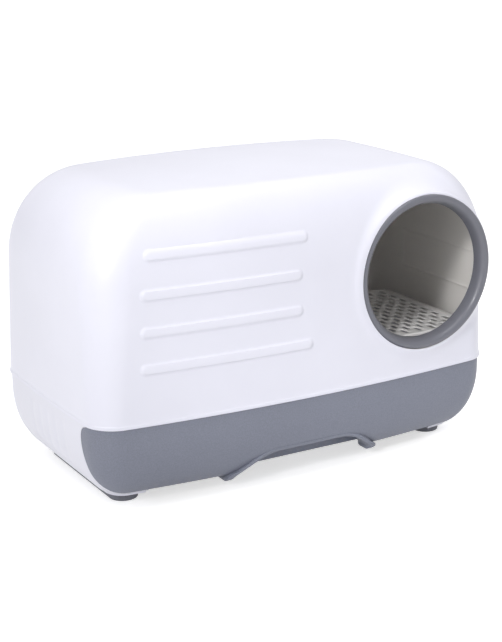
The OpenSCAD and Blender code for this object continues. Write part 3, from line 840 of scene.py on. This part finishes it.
def straight_column(share):
    """One column of the front between its lower border and its top."""
    z_low = FRONT_LOW_Z
    for _ in range(12):
        a, _, r, _ = lower_sizes(np.array(z_low))
        x = (2 * share - 1) * float(a - r)
        border = np.interp(x, arch_outside[:, 0], arch_outside[:, 1], FRONT_LOW_Z, FRONT_LOW_Z)
        z_low = max(FRONT_LOW_Z, float(border))
    z = z_low + (FRONT_TOP_Z - z_low) * up_share
    return lower_points(share + 0 * z, z)


def corner_column(share):
    """One column round the corner, a share of the way to the cut."""
    z = np.array(front_levels)
    end = station_at(z, lambda p: p[..., 1] > cut_y(p[..., 2] + GAP) - GAP, 1.0, 2.6)
    return lower_points(1 + (end - 1) * share, z)


columns = [straight_column(0.5 + x / (2 * FRONT_HALF)) for x in front_x]
columns += [corner_column(s) for s in corner_share]
right_half = np.stack(columns, axis=1)
front_out = np.concatenate([right_half[:, 1:][:, ::-1] * OUTWARDS_LEFT, right_half], axis=1)
front_panel = open_shell("front_panel", front_out, front_out - normals(front_out, False) * WALL)
print("drawer front grid:", front_out.shape[0], "rows by", front_out.shape[1], "columns")


# %% Webs and bosses behind the drawer front
def surface_y(x, z):
    """The front skin's y at x and z."""
    a, b, r, _ = lower_sizes(np.asarray(z, float))
    flat = np.abs(x) < a - r
    bend = np.sqrt(np.maximum(r * r - (np.abs(x) - a + r) ** 2, 0))
    y = np.where(flat, -b, -(b - r) - bend)
    return float(y + y / b * FRONT_BULGE * (1 - np.clip(x / a, -1, 1) ** 2))


TRAY_FRONT_Y, IN_SKIN = -106.0, 1.5
WEB_Z, WEB_T, WEB_HALF = 104.0, 2.5, 285.0
BOSS_X, BOSS_Z, BOSS_R = (-215, -150, 150, 215), 78.0, 5.0
web_loop = [(x, surface_y(x, WEB_Z) + IN_SKIN) for x in np.linspace(-WEB_HALF, WEB_HALF, 61)]
web_loop += [(WEB_HALF, TRAY_FRONT_Y), (-WEB_HALF, TRAY_FRONT_Y)]
front_parts = [front_panel, extruded("front_web", web_loop, "z", WEB_Z, WEB_Z + WEB_T)]
for x in BOSS_X:
    front_y = surface_y(x, BOSS_Z) + IN_SKIN
    front_parts.append(extruded("front_boss", disc((x, BOSS_Z), BOSS_R), "y", front_y, TRAY_FRONT_Y, 0.4))
drawer_front = joined("drawer_front_panel", front_parts)
settle(drawer_front, "drawer", "drawer_front", DRAWER_GREY)
print("drawer front:", len(drawer_front.data.polygons), "faces")

# %% [markdown]
# ## The finger grip
#
# Under the arch runs a rolled lip that ends in two rounded tips, with a plate behind it that stops
# the fingers. A rounded rectangle is swept along the arch, grows thicker near the tips and closes
# like the end of a finger. Its front and back follow the leaning wall, given here as (height,
# front y, back y).

# %% Lip of the grip
LIP_EDGE, TIP_EDGE = 2.6, 2.8
TIP_X, TIP_Z, TIP_R = 112.4, 13.2, 5.7
LIP_SIDE = np.array([
    (7.4, -133, -119.5), (9, -137, -118.2), (11, -141, -117.6), (14.5, -146, -117), (19.5, -150.5, -117),
    (25, -155, -117), (33, -160, -117), (40, -162.6, -117), (47, -164.3, -117), (54, -166.0, -117)])
PLATE_Y, PLATE_T, PLATE_HALF = -122.0, 3, 104


def lip_spine():
    """Stations from the arch's top to the right tip: x, z, half the thickness, edge radius."""
    x = np.array(steps((0, 46, 6), (46, 100, 2)))
    middle = arch_curve(0.5, x)
    half = lip_thickness(x) / 2
    rows = [np.column_stack([middle, half, 0 * x + LIP_EDGE])]
    start, tip = middle[-1], np.array([TIP_X, TIP_Z])
    along = (middle[-1] - middle[-2]) / np.linalg.norm(middle[-1] - middle[-2])
    k = np.linspace(0, 1, 13)[1:, None]
    bend = ((1 - k) ** 3 * start + 3 * k * (1 - k) ** 2 * (start + 6 * along)
            + 3 * k * k * (1 - k) * (tip + [0, 5]) + k ** 3 * tip)
    grow = smooth_step(k[:, 0])
    rows.append(np.column_stack([
        bend, half[-1] + (TIP_R - half[-1]) * grow, LIP_EDGE + (TIP_EDGE - LIP_EDGE) * grow]))
    t = np.radians(np.linspace(0, 86, 11))[1:]
    rows.append(np.column_stack([
        0 * t + TIP_X, TIP_Z - TIP_R * np.sin(t), TIP_R * np.cos(t), TIP_EDGE * np.cos(t)]))
    return np.concatenate(rows)


def rounded_section(half, y0, y1, edge, count=6):
    """A rounded rectangle as (across, y) points."""
    r = min(edge, 0.98 * half, 0.45 * (y1 - y0))
    points = []
    for side, y, start in ((1, y1 - r, 0), (-1, y1 - r, 90), (-1, y0 + r, 180), (1, y0 + r, 270)):
        points += arc((side * (half - r), y), r, start, start + 90, count)
    return np.array(points)


def lip_section(x, z, half, edge, nx, nz):
    """The ring of points across the lip at one station."""
    front, rear = (float(np.interp(z, LIP_SIDE[:, 0], LIP_SIDE[:, i])) for i in (1, 2))
    section = rounded_section(half, front, max(rear, front + 0.5), edge)
    high = z + nz * section[:, 0]
    near = np.interp(high, LIP_SIDE[:, 0], LIP_SIDE[:, 1]) - front
    far = np.interp(high, LIP_SIDE[:, 0], LIP_SIDE[:, 2]) - rear
    shift = np.where(section[:, 1] < (front + rear) / 2, near, far)
    return np.column_stack([x + nx * section[:, 0], section[:, 1] + shift, high])


spine = lip_spine()
spine = np.concatenate([spine[1:][::-1] * [-1, 1, 1, 1], spine])
run = np.gradient(spine[:, :2], axis=0)
run /= np.linalg.norm(run, axis=1, keepdims=True)
lip = capped("grip_lip", np.stack([lip_section(*row, -d[1], d[0]) for row, d in zip(spine, run)]))
plate_x = np.linspace(-PLATE_HALF, PLATE_HALF, 53)
plate_loop = [(x, max(z, FRONT_FLOOR_Z + 1)) for x, z in arch_curve(0.5, plate_x)]
plate_loop += [(PLATE_HALF + 2, FRONT_FLOOR_Z), (-PLATE_HALF - 2, FRONT_FLOOR_Z)]
plate = extruded("grip_plate", plate_loop, "y", PLATE_Y, PLATE_Y + PLATE_T, 0.5)
grip = joined("grip_lip_and_plate", [lip, plate])
settle(grip, "drawer", "grip_liner", DRAWER_GREY)
print("grip:", len(grip.data.polygons), "faces")

# %% [markdown]
# ## The base
#
# The white base runs from the cut round the back to the other cut. Below the drawer front it
# reaches further forward as a crescent at each corner. Each end has five shallow upright flutes,
# which the bar tree sinks into the skin.

# %% Base grid
FLUTE_Y = [-52.0, -27.0, -2.0, 23.0, 48.0]
FLUTE_DEPTH, FLUTE_HALF, FLUTE_REACH, FLUTE_Z = 0.9, 8.5, 30.0, (36, 99)
FLUTE_START = 2.2
base_levels = [BASE_Z, 12.8, 13.4, 13.9, 14.5] + steps((15.2, FRONT_FLOOR_Z - 0.1, 0.8))
base_levels += [FRONT_FLOOR_Z] + steps((20.5, 96, 3.2)) + corner_levels(0)
base_z = np.array(base_levels + [BASE_TOP_Z - 0.8, BASE_TOP_Z])


def base_start(z):
    """The station of the base's right-hand border at each height."""
    low = station_at(z, lambda p: p[..., 0] > CRESCENT_X, 0.5, 1.9)
    high = station_at(z, lambda p: p[..., 1] > cut_y(p[..., 2]), 1.0, 2.6)
    return np.where(z < FRONT_FLOOR_Z, low, np.maximum(low, high))


share = np.array(steps((0, 1, 1 / 26)))
side_run = np.array(steps((FLUTE_START, 2.85, 1 / 64), (2.85, 4, 1 / 16), (4, 4.5, 1 / 40)))[1:]
right_half = np.stack([
    np.concatenate([begin + (FLUTE_START - begin) * share, side_run]) for begin in base_start(base_z)])
base_stations = np.concatenate([right_half, (9.0 - right_half)[:, ::-1][:, 1:]], axis=1)
base_out = lower_points(base_stations, np.repeat(base_z[:, None], base_stations.shape[1], 1))
base_in = base_out - normals(base_out, False) * WALL
base_in[0, :, 2] = BASE_Z + WALL
rows, cols = base_out.shape[:2]
count = rows * cols
notch = [[CRESCENT_X * side, FLOOR_EDGE_Y, z] for z in (BASE_Z, BASE_Z + WALL) for side in (1, -1)]
n0 = 2 * count
floor_faces = [
    tuple(range(cols)) + (n0 + 1, n0),
    tuple(range(count, count + cols))[::-1] + (n0 + 2, n0 + 3),
    (0, count, n0 + 2, n0), (n0, n0 + 2, n0 + 3, n0 + 1),
    (n0 + 1, n0 + 3, count + cols - 1, cols - 1),
]
base_wall = open_shell("base_wall", base_out, base_in, floor_faces, notch)
flutes = [(*((side * HALF_LENGTH, y, z) for z in FLUTE_Z), (side, 0, 0)) for side in (-1, 1) for y in FLUTE_Y]
barred(base_wall, flutes, FLUTE_HALF, FLUTE_HALF, -FLUTE_DEPTH, FLUTE_REACH, BASE_WHITE)
print("base grid:", rows, "rows by", cols, "columns")

# %% [markdown]
# ## What the base carries
#
# Inside, a ledge holds the rim frame, posts take the frame's screws and the rails, and low bosses
# on the floor take the skids' screws. Outside at the back, pairs of ears hold the latches' pins.

# %% Ledge, posts, bosses and ears
FRAME_Z, FRAME_TOP_Z, FRAME_SCREW_X, FRAME_SCREW_Y = 113.2, 116.2, 293.0, (-84.0, 96.0)
LEDGE_OUT, LEDGE_IN, LEDGE_H = 3.2, 13.2, 6.0
RAIL_Z, RAIL_POST_Y, RAIL_POST_X = 92.0, (-70.0, 80.0), (287.0, 301.5)
SKID_X, SKID_SCREW_Y, FLOOR_BOSS_TOP_Z = 242.5, (-80.0, 0.0, 80.0), 17.8
LATCH_X, LATCH_Y, LATCH_Z, LATCH_R = 260.0, 166.0, 99.0, 3.6
EAR_OFFSET, EAR_W, EAR_ROOT_Y, INNER_EAR_ROOT_Y = 22.5, 4.0, 151.0, 159.0
SIDES = (-1, 1)


def outline_loop(inset, stations):
    """Flat points of the seam's outline drawn in by inset."""
    sizes = (HALF_LENGTH - inset, HALF_DEPTH - inset, CORNER_RADIUS - inset)
    return np.stack(outline(np.array(stations), *sizes), axis=1)


ledge_run = steps((2.13, 3, 1 / 12), (3, 4, 1 / 12), (4, 5, 1 / 30), (5, 6, 1 / 12), (6, 6.87, 1 / 12))
ledge_loop = np.concatenate([outline_loop(LEDGE_OUT, ledge_run), outline_loop(LEDGE_IN, ledge_run)[::-1]])
base_parts = [base_wall, extruded("ledge", ledge_loop, "z", FRAME_Z - LEDGE_H, FRAME_Z)]
for side in SIDES:
    for y in FRAME_SCREW_Y:
        post = disc((side * FRAME_SCREW_X, y), 5.0)
        base_parts.append(extruded("frame_post", post, "z", FRAME_Z - 11, FRAME_Z))
for side in SIDES:
    x = sorted(side * edge for edge in RAIL_POST_X)
    for y in RAIL_POST_Y:
        base_parts.append(block("rail_post", x, (y - 6, y + 6), (RAIL_Z - 14, RAIL_Z)))
    for y in SKID_SCREW_Y:
        boss = disc((side * SKID_X, y), 5.0)
        base_parts.append(extruded("floor_boss", boss, "z", BASE_Z + 1, FLOOR_BOSS_TOP_Z, 0.5))
    for k in SIDES:
        x = side * LATCH_X + k * EAR_OFFSET
        root = EAR_ROOT_Y if abs(x) > LATCH_X else INNER_EAR_ROOT_Y
        ear = [(root, LATCH_Z - LATCH_R)] + arc((LATCH_Y, LATCH_Z), LATCH_R, -90, 90, 13)
        ear += [(root, LATCH_Z + LATCH_R)]
        base_parts.append(extruded("latch_ear", ear, "x", x - EAR_W / 2, x + EAR_W / 2, 0.5))
base_skin = joined("base_skin", base_parts)
settle(base_skin, "base", "base_tub", BASE_WHITE)
print("base:", len(base_skin.data.polygons), "faces")

# %% [markdown]
# ## The skids
#
# Two long rubber runners keep the box from sliding. Each is a stadium in plan with a rounded
# lower edge, and three deep holes from below hide its screws.

# %% Skids
SKID_HALF_W, SKID_FRONT_Y, SKID_BACK_Y = 19.5, -111.0, 105.0
SKID_SECTION = [(0.0, 1.8), (0.45, 0.8), (1.4, 0.1), (2.4, 0.0), (11.4, 0.0), (BASE_Z, 0.3)]
SKID_HOLE_R, SKID_SEAT_Z = 4.6, 6.0


def stadium(centre_x, radius, inset, count=20):
    """A runner's outline drawn in by inset, with round ends."""
    return (arc((centre_x, SKID_BACK_Y - radius), radius - inset, 0, 180, count)
            + arc((centre_x, SKID_FRONT_Y + radius), radius - inset, 180, 360, count))


for side, name in zip(SIDES, ("left_skid", "right_skid")):
    layers = [[(x, y, z) for x, y in stadium(side * SKID_X, SKID_HALF_W, inset)]
              for z, inset in SKID_SECTION]
    runner = capped(name + "_runner", np.array(layers))
    for y in SKID_SCREW_Y:
        hole = disc((side * SKID_X, y), SKID_HOLE_R, 36)
        cut(runner, extruded("screw_hole", hole, "z", -1.0, SKID_SEAT_Z))
    settle(runner, "base", name, SKID_RUBBER)
print("skids stand", BASE_Z, "mm high")

# %% [markdown]
# ## The rim of the entrance
#
# A grey ring with a rounded nose and a short throat, which a cat feels as a smooth edge. Its
# profile is drawn as a closed line of (radius, depth), and the tree sweeps it round a circle.

# %% Entrance ring
NOSE_R, NOSE_DEPTH, NOSE_EDGE = 101.0, 172.8, 3.0
THROAT_R, THROAT_DEPTH, THROAT_BACK = 92.3, 156.5, 153.7
RIM_R, LAND_DEPTH, NECK_R = 105.7, 167.05, 96.3

RING = {"Path radius": NOSE_R, "Segments": 224, "Centre": (ENTRY_X, 0.0, ENTRY_Z), "Material": RING_GREY}
sweep, given = start_tree("sweep_round_a_circle", RING)
circle = geo(sweep, "CurvePrimitiveCircle", {
    "Resolution": given["Segments"], "Radius": given["Path radius"]}, mode="RADIUS")
circle = geo(sweep, "SetCurveNormal", {"Curve": circle}, mode="Z_UP")
line = geo(sweep, "MeshToCurve", {"Mesh": given["Geometry"]})
swept = geo(sweep, "CurveToMesh", {"Curve": circle, "Profile Curve": line})
end_tree(sweep, moved(sweep, swept, given["Centre"], (-math.pi / 2, 0, 0)), given["Material"])

profile = [(THROAT_R, THROAT_BACK + 0.6)]
profile += [(NOSE_R - (NOSE_R - THROAT_R) * math.cos(t),
             THROAT_DEPTH + (NOSE_DEPTH - THROAT_DEPTH) * math.sin(t))
            for t in np.radians(np.linspace(0, 90, 19))]
profile += [(NOSE_R + (RIM_R - NOSE_R) * math.sin(t), NOSE_DEPTH - NOSE_EDGE * (1 - math.cos(t)))
            for t in np.radians(np.linspace(10, 90, 9))]
profile += [(RIM_R, LAND_DEPTH + 0.3), (RIM_R - 0.3, LAND_DEPTH), (NECK_R, LAND_DEPTH),
            (NECK_R, THROAT_BACK), (THROAT_R + 0.6, THROAT_BACK)]
count = len(profile)
ring = grown("entrance_rim", sweep, RING, [(r - NOSE_R, depth, 0) for r, depth in profile],
             [(i, (i + 1) % count) for i in range(count)])
settle(ring, "hood", "entrance_ring")
corners = np.array(ring.bound_box) / MM
print("ring spans", corners.min(0).round(1), corners.max(0).round(1))

# %% [markdown]
# ## The hood's catches
#
# Two short ridges on the hood's back are what the latches hook over. They are part of the hood's
# moulding, so they join it before it is finished. Faces that look at the middle of the hood are
# marked, so that the finish can paint light and warm shade on the inside as a lighter, warmer tone.

# %% Catches, and the finished hood
CATCH_HALF, CATCH_Y, CATCH_Z = 14.0, (156, 164), (120, 123.5)
MIDDLE = Vector((0, 0, 0.2))
catches = [block("catch", (side * LATCH_X - CATCH_HALF, side * LATCH_X + CATCH_HALF), CATCH_Y, CATCH_Z, 0.8)
           for side in SIDES]
hood = joined("hood_with_catches", [hood] + catches)
# Inward faces are marked for the painted light and warm shade of the inner colour.
inside = hood.data.attributes.new("inside", "FLOAT", "FACE")
inside.data.foreach_set("value", [
    float(face.normal.dot(face.center - MIDDLE) < 0) for face in hood.data.polygons])
settle(hood, "hood", "hood_shell", HOOD_WHITE_PAINTED_INSIDE)
print("hood:", len(hood.data.polygons), "faces")

# %% [markdown]
# ## The step platform
#
# A pale deck wipes a cat's paws and lets the litter fall back through staggered slots. Its tree
# draws the rim, sets a slot on every point of two shifted lattices, fills what is left and
# thickens it. A skirt follows the rim below, and four legs stand on the frame.


# %% Tree of a perforated deck
def rounded(tree, width, height, radius, points):
    """A rectangle's line with rounded corners."""
    line = geo(tree, "CurvePrimitiveQuadrilateral", {"Width": width, "Height": height})
    return geo(tree, "FilletCurve", {"Curve": line, "Radius": radius, "Count": points}, mode="POLY")


def lattice(tree, counts, pitches):
    """A centred grid of points, counts by pitches each way."""
    across, along = (calc(tree, "MULTIPLY", calc(tree, "SUBTRACT", n, 1), pitch)
                     for n, pitch in zip(counts, pitches))
    return geo(tree, "MeshGrid", {
        "Vertices X": counts[0], "Vertices Y": counts[1], "Size X": across, "Size Y": along})


RIM_POINTS, SLOT_POINTS, SKIRT_OVERLAP = 10, 5, 0.5 * MM
DECK_Z = 167.0
DECK = {
    "Length": 214.0, "Depth": 220.0, "Corner radius": 30.0, "Thickness": 1.8, "Slot length": 17.5,
    "Slot width": 6.5, "Slot corner": 3.1, "Pitch across": 23.0, "Pitch along": 26.0, "Columns": 9,
    "Rows": 8, "Lattice shift": (-2.5, 0.0, 0.0), "Skirt thickness": 2.5, "Skirt height": 7.7,
    "Centre": (177.0, -38.0, DECK_Z), "Material": DECK_WHITE}
deck, given = start_tree("perforated_deck", DECK)
rim = rounded(deck, given["Length"], given["Depth"], given["Corner radius"], RIM_POINTS)
slot = rounded(deck, given["Slot width"], given["Slot length"], given["Slot corner"], SLOT_POINTS)
lattices = [lattice(deck, [calc(deck, "SUBTRACT", given[side], fewer) for side in ("Columns", "Rows")],
                    (given["Pitch across"], given["Pitch along"])) for fewer in (0, 1)]
seats = moved(deck, geo(deck, "JoinGeometry", {"Geometry": lattices}), given["Lattice shift"])
slots = geo(deck, "InstanceOnPoints", {"Points": seats, "Instance": slot})
slots = geo(deck, "RealizeInstances", {"Geometry": slots})
lines = geo(deck, "JoinGeometry", {"Geometry": [rim, slots]})
top = geo(deck, "FillCurve", {"Curve": lines}, mode="TRIANGLES")
drop = calc(deck, "MULTIPLY", given["Thickness"], -1)
lower = geo(deck, "ExtrudeMesh", {"Mesh": top, "Offset Scale": drop, "Individual": False}, mode="FACES")
inset = [calc(deck, "SUBTRACT", given[side], given["Skirt thickness"]) for side in ("Length", "Depth")]
path = rounded(deck, *inset, given["Corner radius"], RIM_POINTS)
path = geo(deck, "SetCurveNormal", {"Curve": path}, mode="Z_UP")
wall = geo(deck, "CurvePrimitiveQuadrilateral", {
    "Width": given["Skirt thickness"], "Height": given["Skirt height"]})
skirt = geo(deck, "CurveToMesh", {"Curve": path, "Profile Curve": wall})
middle = add(deck, "ShaderNodeMath", {
    0: given["Skirt height"], 1: 0.5, 2: given["Thickness"]}, operation="MULTIPLY_ADD")[0]
down = add(deck, "ShaderNodeCombineXYZ", {"Z": calc(deck, "SUBTRACT", SKIRT_OVERLAP, middle)})[0]
whole = geo(deck, "JoinGeometry", {"Geometry": [top, lower, moved(deck, skirt, down)]})
end_tree(deck, moved(deck, whole, given["Centre"]), given["Material"])

# %% Step platform
LEG_HALF, LEG_X, LEG_Y = 6.0, (88, 276), (-128, 62)
plate = bevelled(grown("deck_plate", deck, DECK, [(0, 0, 0)]), 0.3, 1)
legs = [block("leg", (x - LEG_HALF, x + LEG_HALF), (y - LEG_HALF, y + LEG_HALF), (FRAME_TOP_Z, DECK_Z - 1.2))
        for x in LEG_X for y in LEG_Y]
platform = joined("perforated_platform", [plate] + legs)
settle(platform, "platform", "step_platform", DECK_WHITE)
print("platform:", len(platform.data.polygons), "faces")

# %% [markdown]
# ## Screws
#
# The same few screws hold everything together: cross-headed, zinc-plated, with a domed head. One
# of each size is turned and cut once, and a tree sets it on every seat.


# %% A screw and a tree that places it
def screw(head_r, head_h, shank_r, length, axis):
    """A cross-headed screw whose head points along axis."""
    dome = [(head_r * math.cos(t), head_h * (0.4 + 0.6 * math.sin(t))) for t in np.radians((0, 30, 60))]
    shank = [(0, -length), (0.6 * shank_r, -length), (shank_r, 1.2 - length), (shank_r, 0), (head_r, 0)]
    made = revolved("one_screw", shank + dome + [(0, head_h)], (0, 0, 0), (0, 0, 1), 20)
    arm, half = 0.58 * head_r, 0.13 * head_r
    for x, y in ((arm, half), (half, arm)):
        cut(made, block("recess", (-x, x), (-y, y), (0.4 * head_h, head_h + 1), 0))
    made.data.transform(Vector(axis).to_track_quat("Z", "Y").to_matrix().to_4x4())
    return made


def both_sides(x, all_y, z):
    """Seats at every y, on the left and on the right."""
    return [(side * x, y, z) for side in SIDES for y in all_y]


placing, given = start_tree("screw_on_every_point", {"Screw": None, "Material": STEEL})
one = add(placing, "GeometryNodeObjectInfo", {"Object": given["Screw"], "As Instance": True})
every = geo(placing, "InstanceOnPoints", {"Points": given["Geometry"], "Instance": one["Geometry"]})
end_tree(placing, every, given["Material"])

# %% Screws where they go
SCREW_CIRCLE_R, RING_SEAT_Y, FRONT_SEAT_Y = 101, -160.5, -103.5
RAIL_SCREW_X, RAIL_SEAT_Z = 291, 95.6
ring_seats = [(x, RING_SEAT_Y, z) for x, z in arc((ENTRY_X, ENTRY_Z), SCREW_CIRCLE_R, 30, 330, 6)]
for node, body, sizes, axis, seats in (
        ("ring_screws", "hood", (2.9, 1.8, 1.45, 8.5), (0, 1, 0), ring_seats),
        ("front_screws", "drawer", (3.4, 2.0, 1.45, 18.0), (0, 1, 0),
         [(x, FRONT_SEAT_Y, BOSS_Z) for x in BOSS_X]),
        ("rail_screws", "base", (3.1, 2.0, 1.5, 12.0), (0, 0, 1),
         both_sides(RAIL_SCREW_X, RAIL_POST_Y, RAIL_SEAT_Z)),
        ("skid_screws", "base", (4.2, 2.4, 1.9, 10.5), (0, 0, -1),
         both_sides(SKID_X, SKID_SCREW_Y, SKID_SEAT_Z)),
        ("frame_screws", "base", (3.2, 2.0, 1.5, 11.0), (0, 0, 1),
         both_sides(FRAME_SCREW_X, FRAME_SCREW_Y, FRAME_TOP_Z))):
    one_screw = screw(*sizes, axis)
    placed = grown("cross_head_" + node, placing, {"Screw": one_screw, "Material": STEEL}, seats)
    bpy.data.objects.remove(one_screw)
    settle(placed, body, node)

# %% [markdown]
# ## Light and floor
#
# The photograph is a studio picture on pure white. A wide soft lamp overhead, a second at the
# front left and a bright world light the object evenly, and a soft spot reaches the wall inside
# the entrance. The floor is white to the camera and to reflections, and keeps the object's own
# soft shadow.

# %% World and lamps
world = bpy.data.worlds.new("studio")
bpy.context.scene.world = world
world.use_nodes = True
sky = world.node_tree.nodes["Background"].inputs
sky["Color"].default_value, sky["Strength"].default_value = (1, 1, 1, 1), 0.70


def lamp(name, kind, place, aim, power, **settings):
    """A lamp at place, turned towards aim."""
    data = bpy.data.lights.new(name, kind)
    data.energy = power
    for key, value in settings.items():
        setattr(data, key, value)
    obj = in_scene(name, data)
    obj.location = place
    obj.rotation_euler = (Vector(aim) - Vector(place)).to_track_quat("-Z", "Y").to_euler()


lamp("sky_above", "AREA", (-0.15, -0.42, 2.76), MIDDLE, 20, shape="RECTANGLE", size=1.8, size_y=1.4)
lamp("key_left_front", "AREA", (-2.18, -1.26, 0.87), MIDDLE, 10, shape="RECTANGLE", size=0.9, size_y=0.9)
lamp("into_the_entrance", "SPOT", (-1.54, -1.23, 1.54), (0.178, -0.165, 0.259), 380,
     spot_size=math.radians(11.5), spot_blend=1.0, shadow_soft_size=0.38)

# %% Floor
FAR, FLOOR_GLOW = 30000.0, 0.58
corners = [(-FAR, -FAR, 0), (FAR, -FAR, 0), (FAR, FAR, 0), (-FAR, FAR, 0)]
floor = in_scene("floor", start_mesh("floor", corners, (), [(0, 1, 2, 3)]))
floor_mat, tree, shader = material("floor_white", (0.8, 0.8, 0.8), 0.9)
glow = add(tree, "ShaderNodeEmission", {"Strength": FLOOR_GLOW})[0]
ray = add(tree, "ShaderNodeLightPath")
mirrored = calc(tree, "MAXIMUM", ray["Is Glossy Ray"], ray["Is Transmission Ray"])
seen = calc(tree, "MAXIMUM", ray["Is Camera Ray"], mirrored)
lit = add(tree, "ShaderNodeAddShader", {0: shader.outputs[0], 1: glow})[0]
surface = add(tree, "ShaderNodeMixShader", {0: seen, 1: shader.outputs[0], 2: lit})[0]
tree.links.new(surface, tree.nodes["Material Output"].inputs["Surface"])
floor.data.materials.append(floor_mat)

# %% Finishes of the solids that are shown as they are
for finish, nodes in (
        (BASE_WHITE, ("rim_frame", "left_latch", "right_latch")),
        (RAIL_GREY, ("left_rail", "right_rail", "left_stop", "right_stop", "ring_retainer")),
        (STEEL, ("left_latch_pin", "right_latch_pin")),
        (TRAY_WHITE, ("drawer_tray",))):
    for node in nodes:
        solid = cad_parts[node]
        solid.data.materials.clear()
        solid.data.materials.append(finish)
        soft_edges(solid, 0.5)

# %% Standard view transform
bpy.context.scene.view_settings.view_transform = "Standard"
